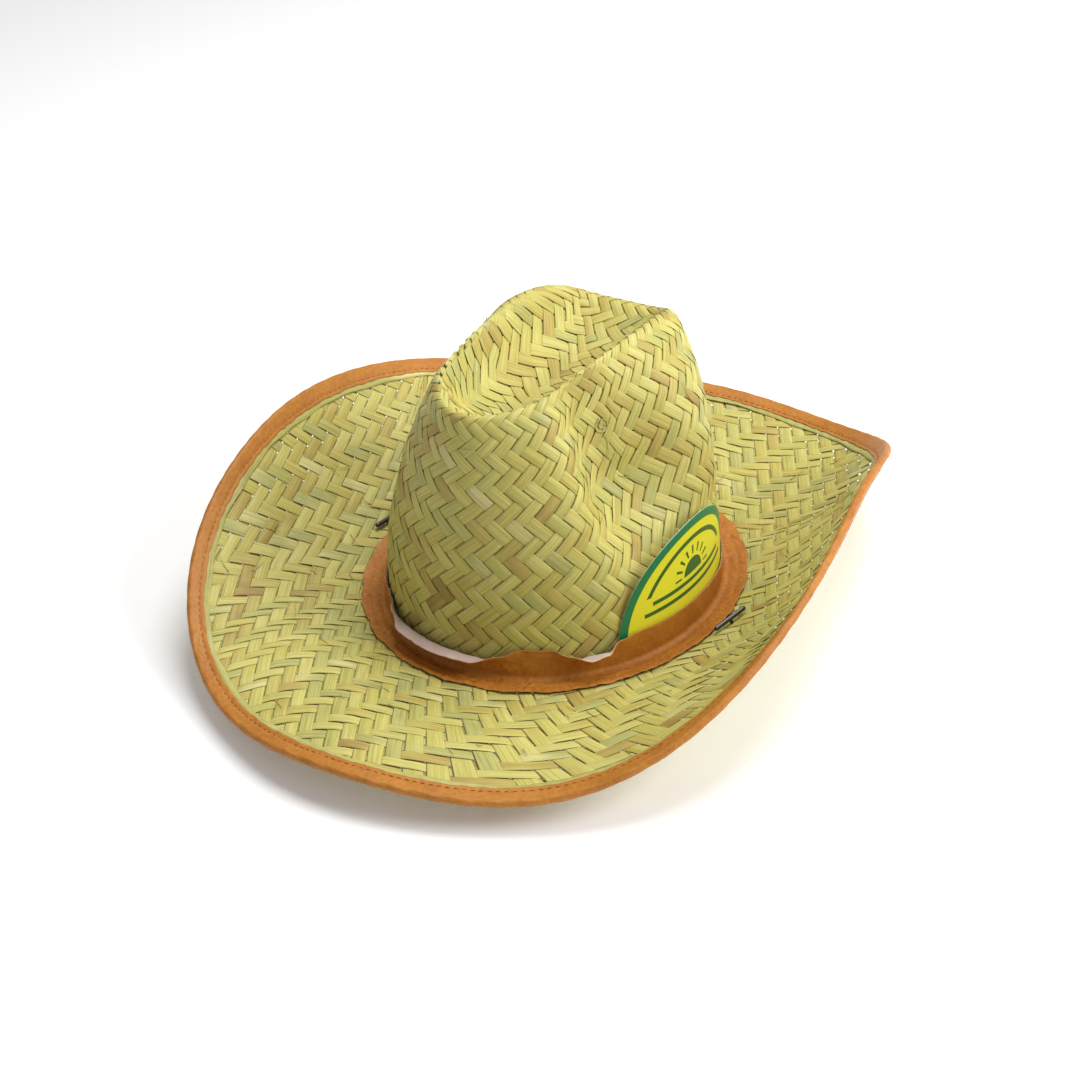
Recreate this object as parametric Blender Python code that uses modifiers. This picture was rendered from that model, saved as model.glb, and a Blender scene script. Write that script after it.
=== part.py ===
"""A wide-brimmed cowboy sun hat of woven straw, with a leatherette hatband and edge binding.

Metres, +Z up. The hat stands on the lower edge of its sweatband at z = 0. Its front is -Y and the
wearer's left is +X. A direction round the hat is an angle: 0 at the front, 90 degrees at +X.
"""

import math

import bmesh
import bpy
from mathutils import Matrix, Vector

COLLECTION = "cowboy_hat"
CUTTERS = "cutters"

# Where the crown's oval base stands. The brim is wider on one side than on the other, so the base is
# a little off the middle of the hat's box.
CENTRE_X = 0.0036
CENTRE_Y = 0.0021
JUNCTION_Z = 0.0035     # the brim's upper face where it meets the crown

# Crown
BASE_X = 0.095          # half width of the base oval, outside
BASE_Y = 0.100          # half length
STRAW = 0.0018          # woven straw, two crossing strands thick
RIM_X = 0.040           # half width of the ridge round the top basin
RIM_FRONT = 0.075
RIM_BACK = 0.096
CROWN_HEIGHT = 0.156
BASIN_DEPTH = 0.032
DENT_DEPTH = 0.039      # how far each side is pushed in
DENT_ANGLE = 80.0
DENT_SPREAD = 20.0
SHOULDER_LOW = 0.92     # shares of the wall and of the basin that the rounded ridge takes up
SHOULDER_IN = 0.86

# Brim, measured along its surface
BRIM_WIDTH = 0.120      # from the crown to the outer edge of the binding
BRIM_WAVE = 0.0022      # the width swells and shrinks three times round the hat
HOLE_RADIUS = 0.0018
HOLE_REACH = 0.0235     # from the crown to each chin cord hole
HOLE_ANGLES = {"left": 90.0, "right": -87.0}
DRILL_LENGTH = 0.02
BRIM_REACHES = (0.030, 0.050, 0.072, 0.092)     # the brim's rings between the hatband and the binding

# Leatherette edge binding, folded round the brim wire
BINDING_WIDTH = 0.0118
BINDING_THICK = 0.0006
BINDING_MID = 0.006     # from the edge to the middle of each leg
WIRE_RADIUS = 0.0011
ROLL_RADIUS = 0.0022
BINDING_GAP = 0.0004    # between each leg and the straw
BINDING_SEAM = 0.0025   # from the binding's inner edge to its row of stitches

# Hatband: a flange on the brim and a free edge that stands round the crown
FLANGE = 0.0170
FLANGE_SEAMS = {"outer": 0.0115, "inner": 0.006}    # the flange's two rows of stitches
BAND_HEIGHT = 0.0190
BAND_LEVELS = (0.0018, 0.010, BAND_HEIGHT)          # where the standing part has its rings
BAND_THICK = 0.0009
BAND_CLEAR = 0.0015     # how far the loose edge stands off the straw

SWEATBAND_HEIGHT = 0.032
SWEATBAND_THICK = 0.0013
SWEATBAND_CLEAR = 0.0006
SWEATBAND_LEVELS = (-JUNCTION_Z, 0.0, 0.014, SWEATBAND_HEIGHT - JUNCTION_Z)

THREAD_RADIUS = 0.00025
GAP = 0.0003            # between pieces that touch

# Chin cord and its toggle bars
BAR_LENGTH = 0.024
BAR_RADIUS = 0.0014
BAR_LIFT = 0.0010       # between the bar and the brim, which curves up towards the bar's ends
BAR_YAW = {"left": 17.0, "right": 6.0}     # how the bars lie, in degrees from the Y axis
CAP_WELD = 0.00001      # joins the bar's end caps to its sides
CORD_RADIUS = 0.0010
CORD_LIFT = 0.0002      # between the cord and the surface it lies on
CORD_DROP = 0.0032      # how far the cord runs straight down from each hole
CORD_TURN = (0.0012, 0.0035, 0.0008)    # outwards, backwards and above its lie, where it reaches the floor
# The cord's loose swings round the back, as bearings in degrees from +X and distances from the middle
CORD_SWINGS = ((12, 0.1215), (27, 0.1240), (44, 0.1215), (62, 0.1190), (80, 0.1205), (99, 0.1225),
               (117, 0.1195), (135, 0.1180), (152, 0.1215), (167, 0.1200))
CORD_POINTS = 76
CURVE_STEPS = 40        # between each two places on the cord's route

# Card tucked behind the hatband on the wearer's left
CARD_ANGLE = 88.0
CARD_HALF_WIDTH = 0.057
CARD_FOOT = 0.0075      # above the brim
CARD_TOP = 0.071
CARD_THICK = 0.0005
CARD_CORNER = 0.004     # the height of the card's two lower corners
CARD_REACH = 0.995      # share of the half circle that the card's outline takes

STATIONS = 60           # steps round the hat
PROBE = 0.0005          # a small step, in radians or metres, for measuring a surface's normal


# ---------------------------------------------------------------- geometry of the hat's surfaces

def smooth(value):
    """An S-shaped step from 0 to 1."""
    value = min(max(value, 0.0), 1.0)
    return value * value * (3.0 - 2.0 * value)


def power(value, exponent):
    return math.copysign(abs(value) ** exponent, value)


def base_point(angle, out=0.0):
    """A point on the crown's base oval, moved outwards along the oval's normal."""
    sine, cosine = math.sin(angle), math.cos(angle)
    normal = Vector((BASE_Y * sine, -BASE_X * cosine, 0.0)).normalized()
    point = Vector((CENTRE_X + BASE_X * sine, CENTRE_Y - BASE_Y * cosine, JUNCTION_Z))
    return point + normal * out, normal


def rim_point(angle):
    """The ridge round the top: narrow at the front and squarer at the back."""
    sine, cosine = math.sin(angle), math.cos(angle)
    squareness = 1.0 - 0.6 * (0.5 - 0.5 * cosine)
    length = RIM_FRONT if cosine > 0.0 else RIM_BACK
    height = (CROWN_HEIGHT + 0.004 * cosine - 0.0065 * math.cos(2.0 * angle)
              + 0.0015 * math.cos(3.0 * angle))
    return (RIM_X * (1.0 - 0.05 * cosine) * power(sine, squareness),
            -length * power(cosine, squareness), height)


def wall_point(angle, share):
    """The crown's side, from its base (share 0) to its ridge (share 1), with the pinched sides."""
    sine, cosine = math.sin(angle), math.cos(angle)
    rim_x, rim_y, height = rim_point(angle)
    lean = share ** (3.7 - 2.0 * cosine)
    x = BASE_X * sine * (1.0 - lean) + rim_x * lean
    y = -BASE_Y * cosine * (1.0 - lean) + rim_y * lean
    from_front = math.degrees(math.atan2(abs(sine), cosine))
    across = math.exp(-((from_front - DENT_ANGLE) / DENT_SPREAD) ** 2)
    upward = smooth((share - 0.18) / 0.42) * (1.0 - share ** 6)
    x -= DENT_DEPTH * across * upward * sine
    return Vector((CENTRE_X + x, CENTRE_Y + y, JUNCTION_Z + height * share))


def basin_point(angle, share):
    """The dished top, from its middle (share 0) to the ridge (share 1)."""
    rim_x, rim_y, height = rim_point(angle)
    x, y = rim_x * share, rim_y * share
    floor = CROWN_HEIGHT - BASIN_DEPTH + 0.03 * y - 0.5 * y * y
    return Vector((CENTRE_X + x, CENTRE_Y + y, JUNCTION_Z + floor + (height - floor) * share ** 3))


def crown_profile(angle):
    """Points up one side of the crown, over the rounded ridge and down to the middle of the basin."""
    points = [wall_point(angle, SHOULDER_LOW * step / 11.0) for step in range(12)]
    low, corner, inner = points[-1], wall_point(angle, 1.0), basin_point(angle, SHOULDER_IN)
    for share in (0.25, 0.5, 0.75):
        points.append(low * (1.0 - share) ** 2 + corner * (2.0 * share * (1.0 - share)) + inner * share ** 2)
    points += [basin_point(angle, share) for share in (SHOULDER_IN, 0.66, 0.44, 0.22)]
    return points


def brim_slopes(angle):
    """How steeply the brim rises at the crown and at its edge. It curls up at the sides."""
    def c(times):
        return math.cos(times * angle)

    def s(times):
        return math.sin(times * angle)

    inner = 12.7 + 3.1 * c(1) - 1.8 * c(2) - 4.2 * s(1)
    outer = (30.0 - 8.3 * c(1) - 33.0 * c(2) + 2.9 * c(3) + 6.1 * c(4) + 1.7 * c(5) + 3.0 * c(6)
             + 8.6 * s(1) - 6.3 * s(2) + 4.3 * s(4))
    return math.radians(inner), math.radians(outer)


def brim_reach(angle):
    return BRIM_WIDTH + BRIM_WAVE * math.cos(3.0 * angle)


def brim_face(angle, reach):
    """A point on the brim's upper face, that far from the crown along it."""
    start, normal = base_point(angle)
    inner, outer = brim_slopes(angle)
    bend = (outer - inner) / brim_reach(angle)
    slope = inner + bend * reach
    out = (math.sin(slope) - math.sin(inner)) / bend
    rise = (math.cos(inner) - math.cos(slope)) / bend
    return start + normal * out + Vector((0.0, 0.0, rise))


def brim_point(angle, reach, above=0.0):
    """A point off the brim's upper face, by that much along the face's normal."""
    place = brim_face(angle, reach)
    around = brim_face(angle + PROBE, reach) - brim_face(angle - PROBE, reach)
    outwards = brim_face(angle, reach + PROBE) - brim_face(angle, reach - PROBE)
    return place + outwards.cross(around).normalized() * above


def angles(count=STATIONS):
    return [2.0 * math.pi * step / count for step in range(count)]


# ---------------------------------------------------------------- objects

def material(name, colour, roughness):
    made = bpy.data.materials.new(name)
    made.use_nodes = True
    shader = made.node_tree.nodes["Principled BSDF"]
    shader.inputs["Base Color"].default_value = (*colour, 1.0)
    shader.inputs["Roughness"].default_value = roughness
    shader.inputs["Metallic"].default_value = 0.0
    made.diffuse_color = (*colour, 1.0)
    return made


def add_object(name, data, finish, collection):
    obj = bpy.data.objects.new(name, data)
    collection.objects.link(obj)
    data.materials.append(finish)
    return obj


def ring_surface(name, rings, finish, collection, middle=None):
    """An open surface through rings of points that run anticlockwise, from the outside inwards."""
    count = len(rings[0])
    points = [point for ring in rings for point in ring]
    faces = [(row * count + step, row * count + (step + 1) % count,
              (row + 1) * count + (step + 1) % count, (row + 1) * count + step)
             for row in range(len(rings) - 1) for step in range(count)]
    if middle is not None:
        last = (len(rings) - 1) * count
        faces += [(last + step, last + (step + 1) % count, len(points)) for step in range(count)]
        points.append(middle)
    mesh = bpy.data.meshes.new(name)
    mesh.from_pydata([tuple(point) for point in points], [], faces)
    mesh.shade_smooth()
    return add_object(name, mesh, finish, collection)


def thicken(obj, thickness):
    solid = obj.modifiers.new("thickness", "SOLIDIFY")
    solid.thickness = thickness
    solid.offset = -1.0
    return obj


def ring_wire(name, points, radius, resolution, finish, collection, closed=True):
    """A round wire, cord or thread along a line of points."""
    curve = bpy.data.curves.new(name, "CURVE")
    curve.dimensions = "3D"
    curve.bevel_depth = radius
    curve.bevel_resolution = resolution
    curve.use_fill_caps = not closed
    spline = curve.splines.new("POLY")
    spline.points.add(len(points) - 1)
    for place, point in zip(spline.points, points):
        place.co = (*point, 1.0)
    spline.use_cyclic_u = closed
    return add_object(name, curve, finish, collection)


def crown(collection, straw):
    profiles = [crown_profile(angle) for angle in angles()]
    hem = [Vector((profile[0].x, profile[0].y, JUNCTION_Z - STRAW)) for profile in profiles]
    rings = [hem] + [list(ring) for ring in zip(*profiles)]
    middle = basin_point(0.0, 0.0)
    return thicken(ring_surface("crown", rings, straw, collection, middle), STRAW)


def hole_frame(side):
    """Where a chin cord hole pierces the brim, as a matrix whose Z axis leaves the upper face."""
    angle = math.radians(HOLE_ANGLES[side])
    place = brim_point(angle, HOLE_REACH)
    up = (brim_point(angle, HOLE_REACH, 0.001) - place).normalized()
    back = (Vector((0.0, 1.0, 0.0)) - up * up.y).normalized()
    side_ways = back.cross(up)
    frame = Matrix((side_ways, back, up)).transposed().to_4x4()
    frame.translation = place
    return frame


def brim(collection, cutters, straw):
    reaches = [0.0, *sorted(FLANGE_SEAMS.values()), FLANGE, *BRIM_REACHES]
    from_edge = (2.0 * ROLL_RADIUS - GAP, BINDING_MID, BINDING_WIDTH)
    rings = [[brim_point(angle, brim_reach(angle) - inset) for angle in angles()] for inset in from_edge]
    rings += [[brim_point(angle, reach + GAP) for angle in angles()] for reach in reversed(reaches)]
    sheet = thicken(ring_surface("brim", rings, straw, collection), STRAW)
    for side in HOLE_ANGLES:
        bpy.ops.mesh.primitive_cylinder_add(vertices=16, radius=HOLE_RADIUS, depth=DRILL_LENGTH)
        drill = bpy.context.object
        drill.name = "hole_" + side
        drill.matrix_world = hole_frame(side)
        drill.hide_render = True
        drill.display_type = "WIRE"
        for owner in drill.users_collection:
            owner.objects.unlink(drill)
        cutters.objects.link(drill)
        cut = sheet.modifiers.new("hole " + side, "BOOLEAN")
        cut.operation = "DIFFERENCE"
        cut.solver = "EXACT"
        cut.object = drill
    return sheet


def edge_binding(collection, leatherette):
    """A U-shaped channel: a leg under the brim, a roll round the wire and a leg on top."""
    top = BINDING_GAP + BINDING_THICK
    under = -STRAW - top

    def section(angle):
        edge = brim_reach(angle)
        legs = (edge - BINDING_WIDTH, edge - BINDING_MID)
        points = [brim_point(angle, reach, under) for reach in legs]
        for degrees in range(-90, 91, 45):
            turn = math.radians(degrees)
            reach = edge - ROLL_RADIUS + ROLL_RADIUS * math.cos(turn)
            points.append(brim_point(angle, reach, -STRAW / 2.0 + ROLL_RADIUS * math.sin(turn)))
        return points + [brim_point(angle, reach, top) for reach in reversed(legs)]

    rings = [list(ring) for ring in zip(*(section(angle) for angle in angles()))]
    return thicken(ring_surface("edge_binding", rings, leatherette, collection), BINDING_THICK)


def brim_wire(collection, steel):
    points = [brim_point(angle, brim_reach(angle) - ROLL_RADIUS, -STRAW / 2.0) for angle in angles()]
    return ring_wire("brim_wire", points, WIRE_RADIUS, 1, steel, collection)


def band_offset():
    return BAND_CLEAR + BAND_THICK


def hatband(collection, leatherette):
    """An L-shaped strip: its flange lies on the brim and its free edge stands round the crown."""
    top = GAP + BAND_THICK
    rings = []
    for reach in (FLANGE, FLANGE_SEAMS["outer"], FLANGE_SEAMS["inner"]):
        rings.append([brim_point(angle, reach + GAP, top) for angle in angles()])
    for height in BAND_LEVELS:
        lift = Vector((0.0, 0.0, height))
        rings.append([base_point(angle, band_offset())[0] + lift for angle in angles()])
    return thicken(ring_surface("hatband", rings, leatherette, collection), BAND_THICK)


def sweatband(collection, cloth):
    """A strip inside the crown. Its lower edge is flat, and the hat stands on it."""
    inside = -STRAW - SWEATBAND_CLEAR
    rings = []
    for height in SWEATBAND_LEVELS:
        leaned = []
        for angle in angles():
            place, _ = base_point(angle, inside)
            lean = wall_point(angle, max(height, 0.0) / rim_point(angle)[2]) - base_point(angle)[0]
            leaned.append(place + Vector((lean.x, lean.y, height)))
        rings.append(leaned)
    return thicken(ring_surface("sweatband", rings, cloth, collection), SWEATBAND_THICK)


def stitch_row(name, collection, thread, place):
    """One line of sewing thread lying on the leatherette."""
    return ring_wire(name, [place(angle) for angle in angles()], THREAD_RADIUS, 0, thread, collection)


def stitching(collection, thread):
    on_binding = BINDING_GAP + BINDING_THICK + GAP + THREAD_RADIUS
    on_flange = GAP + BAND_THICK + GAP + THREAD_RADIUS
    inset = BINDING_WIDTH - BINDING_SEAM
    stitch_row("binding_thread", collection, thread,
               lambda angle: brim_point(angle, brim_reach(angle) - inset, on_binding))
    for row, reach in FLANGE_SEAMS.items():
        stitch_row("hatband_thread_" + row, collection, thread,
                   lambda angle, reach=reach: brim_point(angle, reach + GAP, on_flange))


def toggle_bar(side, collection, plastic):
    """A round-ended bar lying across its hole, with a neck that reaches down into the hole."""
    curve = bpy.data.curves.new("toggle", "CURVE")
    curve.dimensions = "3D"
    curve.bevel_depth = BAR_RADIUS
    curve.bevel_resolution = 3
    curve.use_fill_caps = True
    half = BAR_LENGTH / 2.0
    round_end = ((0.0, 0.55), (0.0006, 0.9), (0.0014, 1.0))     # from the bar's end, and share of its radius
    places = [(inset - half, swell) for inset, swell in round_end]
    places += [(half - inset, swell) for inset, swell in reversed(round_end)]
    spline = curve.splines.new("POLY")
    spline.points.add(len(places) - 1)
    for point, (along, swell) in zip(spline.points, places):
        point.co = (0.0, along, BAR_RADIUS + BAR_LIFT, 1.0)
        point.radius = swell
    bar = bar_mesh(curve, "toggle_bar_" + side, plastic, collection)
    turn = Matrix.Rotation(math.radians(-BAR_YAW[side]), 4, "Z")
    bar.matrix_world = hole_frame(side) @ turn
    return bar


def bar_mesh(curve, name, plastic, collection):
    """The bar as a mesh, with its neck joined on."""
    guide = bpy.data.objects.new("guide", curve)
    collection.objects.link(guide)
    evaluated = guide.evaluated_get(bpy.context.evaluated_depsgraph_get())
    mesh = bpy.data.meshes.new_from_object(evaluated)
    bpy.data.objects.remove(guide)
    shape = bmesh.new()
    shape.from_mesh(mesh)
    bmesh.ops.remove_doubles(shape, verts=shape.verts, dist=CAP_WELD)
    shape.to_mesh(mesh)
    shape.free()
    bar = add_object(name, mesh, plastic, collection)
    neck = neck_mesh(plastic)
    joined = bar.modifiers.new("neck", "BOOLEAN")
    joined.operation = "UNION"
    joined.solver = "EXACT"
    joined.object = neck
    bpy.context.view_layer.update()
    evaluated = bar.evaluated_get(bpy.context.evaluated_depsgraph_get())
    bar.data = bpy.data.meshes.new_from_object(evaluated)
    bar.modifiers.clear()
    bpy.data.objects.remove(neck)
    bar.data.shade_smooth()
    return bar


def neck_mesh(plastic):
    """The bar's neck, a short peg that ends level with the brim's upper face."""
    height = BAR_RADIUS + BAR_LIFT
    bpy.ops.mesh.primitive_cylinder_add(vertices=12, radius=CORD_RADIUS * 1.1, depth=height,
                                        location=(0.0, 0.0, height / 2.0))
    neck = bpy.context.object
    neck.data.materials.append(plastic)
    return neck


def chin_cord(collection, elastic):
    """The elastic drops from one hole, lies under the brim round the back, and rises to the other."""
    route = cord_route()
    points = spaced(route, CORD_POINTS)
    return ring_wire("chin_elastic", points, CORD_RADIUS, 2, elastic, collection, closed=False)


def cord_route():
    """Places that the cord passes, from the wearer's left hole to the right one."""
    lies = CORD_RADIUS + CORD_LIFT
    out, back, above = CORD_TURN
    ends = {}
    for side, outwards in (("left", out), ("right", -out)):
        frame = hole_frame(side)
        top = frame @ Vector((0.0, 0.0, -GAP))
        below = frame @ Vector((0.0, 0.0, -CORD_DROP))
        ends[side] = [top, below, Vector((below.x + outwards, below.y + back, lies + above))]
    route = ends["left"]
    for bearing, radius in CORD_SWINGS:
        turn = math.radians(bearing)
        route.append(Vector((CENTRE_X + radius * math.cos(turn), CENTRE_Y + radius * math.sin(turn), lies)))
    return route + ends["right"][::-1]


def spaced(route, count):
    """A smooth curve through the route's places, read off at even steps along it."""
    fine = []
    for index in range(len(route) - 1):
        before = route[max(index - 1, 0)]
        after = route[min(index + 2, len(route) - 1)]
        here, there = route[index], route[index + 1]
        span = (there - here).length
        lead_in = (there - before) * (span / max((there - before).length, span))
        lead_out = (after - here) * (span / max((after - here).length, span))
        for step in range(CURVE_STEPS):
            t = step / CURVE_STEPS
            fine.append(here * (2 * t ** 3 - 3 * t ** 2 + 1) + lead_in * (t ** 3 - 2 * t ** 2 + t)
                        + there * (3 * t ** 2 - 2 * t ** 3) + lead_out * (t ** 3 - t ** 2))
    fine.append(route[-1])
    travelled = [0.0]
    for first, second in zip(fine, fine[1:]):
        travelled.append(travelled[-1] + (second - first).length)
    points, index = [], 0
    for step in range(count):
        target = travelled[-1] * step / (count - 1)
        while index < len(fine) - 2 and travelled[index + 1] < target:
            index += 1
        share = (target - travelled[index]) / max(travelled[index + 1] - travelled[index], 1e-9)
        point = fine[index].lerp(fine[index + 1], min(share, 1.0))
        point.z = max(point.z, CORD_RADIUS + CORD_LIFT)
        points.append(point)
    return points


def label_card(collection, card):
    """A half-round card, curved round the crown behind the hatband's free edge."""
    columns, rows = 16, 7
    middle = math.radians(CARD_ANGLE)
    swing = CARD_HALF_WIDTH / BASE_Y
    points, faces = [], []
    for column in range(columns + 1):
        across = math.sin(math.pi / 2.0 * (-1.0 + 2.0 * column / columns)) * CARD_REACH
        corner = CARD_FOOT + CARD_CORNER
        height = corner + (CARD_TOP - corner) * math.sqrt(1.0 - across * across)
        place, _ = base_point(middle + swing * across, BAND_CLEAR / 2.0 + CARD_THICK / 2.0)
        for row in range(rows + 1):
            lift = CARD_FOOT + (height - CARD_FOOT) * row / rows
            points.append(tuple(place + Vector((0.0, 0.0, lift))))
    for column in range(columns):
        for row in range(rows):
            first = column * (rows + 1) + row
            faces.append((first, first + rows + 1, first + rows + 2, first + 1))
    mesh = bpy.data.meshes.new("label_card")
    mesh.from_pydata(points, [], faces)
    mesh.shade_smooth()
    return thicken(add_object("label_card", mesh, card, collection), CARD_THICK)


def new_collection(name):
    made = bpy.data.collections.new(name)
    bpy.context.scene.collection.children.link(made)
    return made


def main():
    for obj in list(bpy.data.objects):
        bpy.data.objects.remove(obj)
    hat = new_collection(COLLECTION)
    cutters = new_collection(CUTTERS)

    straw = material("straw", (0.62, 0.60, 0.24), 0.55)
    leatherette = material("leatherette", (0.55, 0.24, 0.06), 0.5)
    steel = material("wire_steel", (0.5, 0.5, 0.52), 0.35)
    cloth = material("sweatband_cloth", (0.75, 0.72, 0.62), 0.9)
    thread = material("thread", (0.60, 0.28, 0.09), 0.7)
    plastic = material("black_plastic", (0.02, 0.02, 0.02), 0.35)
    elastic = material("black_elastic", (0.025, 0.025, 0.025), 0.8)
    card = material("printed_card", (0.75, 0.68, 0.05), 0.4)

    crown(hat, straw)
    brim(hat, cutters, straw)
    edge_binding(hat, leatherette)
    brim_wire(hat, steel)
    hatband(hat, leatherette)
    sweatband(hat, cloth)
    stitching(hat, thread)
    chin_cord(hat, elastic)
    for side in HOLE_ANGLES:
        toggle_bar(side, hat, plastic)
    label_card(hat, card)


main()
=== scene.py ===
"""The looks of a woven straw cowboy hat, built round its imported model.

Metres, +Z up, in the part's own frame. The hat's front is -Y and the wearer's left is +X. A direction
round the hat is an angle: 0 at the front, 90 degrees at +X. Arrays of points have x, y and z last.
"""

import math

import bpy
import numpy as np
from mathutils import Matrix, Vector


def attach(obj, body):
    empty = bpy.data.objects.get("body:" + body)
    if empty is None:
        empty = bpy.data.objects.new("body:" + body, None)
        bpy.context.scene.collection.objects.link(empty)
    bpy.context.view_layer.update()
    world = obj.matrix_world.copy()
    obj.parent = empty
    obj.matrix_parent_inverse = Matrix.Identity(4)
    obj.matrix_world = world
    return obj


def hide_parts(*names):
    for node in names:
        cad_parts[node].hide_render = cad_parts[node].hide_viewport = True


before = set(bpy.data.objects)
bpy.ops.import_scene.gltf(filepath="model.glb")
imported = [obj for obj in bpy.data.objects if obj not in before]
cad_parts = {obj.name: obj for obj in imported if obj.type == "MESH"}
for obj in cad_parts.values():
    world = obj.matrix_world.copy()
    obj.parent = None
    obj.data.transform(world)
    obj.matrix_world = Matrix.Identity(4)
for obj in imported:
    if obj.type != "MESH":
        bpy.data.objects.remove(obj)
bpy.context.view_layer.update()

# ---------------- the hat's driving sizes, as in the CAD model

CENTRE = np.array([0.0036, 0.0021, 0.0035])     # middle of the crown's base, level with the brim's face
BASE_X, BASE_Y = 0.095, 0.100
STRAW = 0.0018
RIM_X, RIM_FRONT, RIM_BACK = 0.040, 0.075, 0.096
CROWN_HEIGHT, BASIN_DEPTH = 0.156, 0.032
DENT_DEPTH, DENT_ANGLE, DENT_SPREAD = 0.039, 80.0, 20.0
SHOULDER_LOW, SHOULDER_IN = 0.92, 0.86
BRIM_WIDTH, BRIM_WAVE = 0.120, 0.0022
BINDING_WIDTH, BINDING_SEAM = 0.0118, 0.0025
BINDING_GAP, BINDING_THICK = 0.0004, 0.0006
ROLL_RADIUS = 0.0022
FLANGE_SEAMS = {"outer": 0.0115, "inner": 0.0060}
BAND_THICK, BAND_CLEAR = 0.0009, 0.0015
GAP, PROBE = 0.0003, 0.0005
SWEATBAND_HEIGHT, SWEATBAND_CLEAR = 0.032, 0.0006
CARD_ANGLE, CARD_HALF_WIDTH, CARD_THICK = 88.0, 0.057, 0.0005
CARD_FOOT, CARD_TOP, CARD_CORNER = 0.0075, 0.071, 0.004
HOLE_REACH, HOLE_ANGLES = 0.0235, {"left": 90.0, "right": -87.0}
CORD_RADIUS, CORD_LIFT, CORD_DROP = 0.0010, 0.0002, 0.0032
CORD_TURN = (0.0012, 0.0035, 0.0008)
CORD_SWINGS = ((12, 0.1215), (27, 0.1240), (44, 0.1215), (62, 0.1190), (80, 0.1205), (99, 0.1225),
               (117, 0.1195), (135, 0.1180), (152, 0.1215), (167, 0.1200))

# ---------------- the camera

LENS, SENSOR = 67.6, 36.0
CAMERA_AZIMUTH, CAMERA_ELEVATION, CAMERA_ROLL = 35.24, 33.30, -4.53     # degrees
CAMERA_DISTANCE = 1.1844
CAMERA_TARGET = CENTRE + np.array([-0.0087, 0.0, 0.0236])


def make_camera():
    """Looks down on the hat from the front and the wearer's left, rolled a little."""
    azimuth, elevation, roll = (math.radians(a) for a in (CAMERA_AZIMUTH, CAMERA_ELEVATION, CAMERA_ROLL))
    back = Vector((math.sin(azimuth) * math.cos(elevation), -math.cos(azimuth) * math.cos(elevation),
                   math.sin(elevation)))
    right = Vector((math.cos(azimuth), math.sin(azimuth), 0.0))
    up = back.cross(right)
    rolled_right = right * math.cos(roll) + up * math.sin(roll)
    rolled_up = up * math.cos(roll) - right * math.sin(roll)
    camera = bpy.data.objects.new("camera", bpy.data.cameras.new("camera"))
    camera.data.lens = LENS
    camera.data.sensor_width = SENSOR
    camera.data.clip_start = 0.01
    place = Matrix((rolled_right, rolled_up, back)).transposed().to_4x4()
    place.translation = Vector(CAMERA_TARGET) + back * CAMERA_DISTANCE
    camera.matrix_world = place
    bpy.context.scene.collection.objects.link(camera)
    bpy.context.scene.camera = camera


# ---------------- geometry of the hat's surfaces

def smooth(value):
    """An S-shaped step from 0 to 1."""
    value = np.clip(value, 0.0, 1.0)
    return value * value * (3.0 - 2.0 * value)


def power(value, exponent):
    return np.sign(value) * np.abs(value) ** exponent


def unit(vectors):
    return vectors / np.maximum(np.linalg.norm(vectors, axis=-1, keepdims=True), 1e-12)


def stack(x, y, z):
    return np.stack(np.broadcast_arrays(x, y, z), axis=-1)


def travel(points):
    """Distance travelled along a row of points."""
    return np.concatenate([[0.0], np.cumsum(np.linalg.norm(np.diff(points, axis=0), axis=1))])


def at_stops(points, travelled, stops):
    """Places along a row of points, at distances travelled."""
    return stack(*(np.interp(stops, travelled, points[:, axis]) for axis in range(3)))


def base_point(angle, out=0.0):
    """A point on the crown's base oval, moved outwards along the oval's normal."""
    angle, out = np.broadcast_arrays(angle, out)
    sine, cosine = np.sin(angle), np.cos(angle)
    normal = unit(stack(BASE_Y * sine, -BASE_X * cosine, 0.0))
    return stack(BASE_X * sine, -BASE_Y * cosine, 0.0) + CENTRE + normal * out[..., None], normal


def rim_point(angle):
    """The ridge round the top basin, measured from the middle of the crown's base."""
    sine, cosine = np.sin(angle), np.cos(angle)
    squareness = 1.0 - 0.6 * (0.5 - 0.5 * cosine)
    length = np.where(cosine > 0.0, RIM_FRONT, RIM_BACK)
    height = CROWN_HEIGHT + 0.004 * cosine - 0.0065 * np.cos(2.0 * angle) + 0.0015 * np.cos(3.0 * angle)
    across = RIM_X * (1.0 - 0.05 * cosine) * power(sine, squareness)
    return across, -length * power(cosine, squareness), height


def wall_point(angle, share):
    """A point on the crown's wall, at a share of the ridge's height, with each side pinched in."""
    sine, cosine = np.sin(angle), np.cos(angle)
    rim_x, rim_y, height = rim_point(angle)
    lean = share ** (3.7 - 2.0 * cosine)
    x = BASE_X * sine * (1.0 - lean) + rim_x * lean
    y = -BASE_Y * cosine * (1.0 - lean) + rim_y * lean
    from_front = np.degrees(np.arctan2(np.abs(sine), cosine))
    across = np.exp(-((from_front - DENT_ANGLE) / DENT_SPREAD) ** 2)
    upward = smooth((share - 0.18) / 0.42) * (1.0 - share ** 6)
    return stack(x - DENT_DEPTH * across * upward * sine, y, height * share) + CENTRE


def basin_point(angle, share):
    """A point in the crown's top basin, at a share of the way from its middle to the ridge."""
    rim_x, rim_y, height = rim_point(angle)
    x, y = rim_x * share, rim_y * share
    floor = CROWN_HEIGHT - BASIN_DEPTH + 0.03 * y - 0.5 * y * y
    return stack(x, y, floor + (height - floor) * share ** 3) + CENTRE


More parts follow.
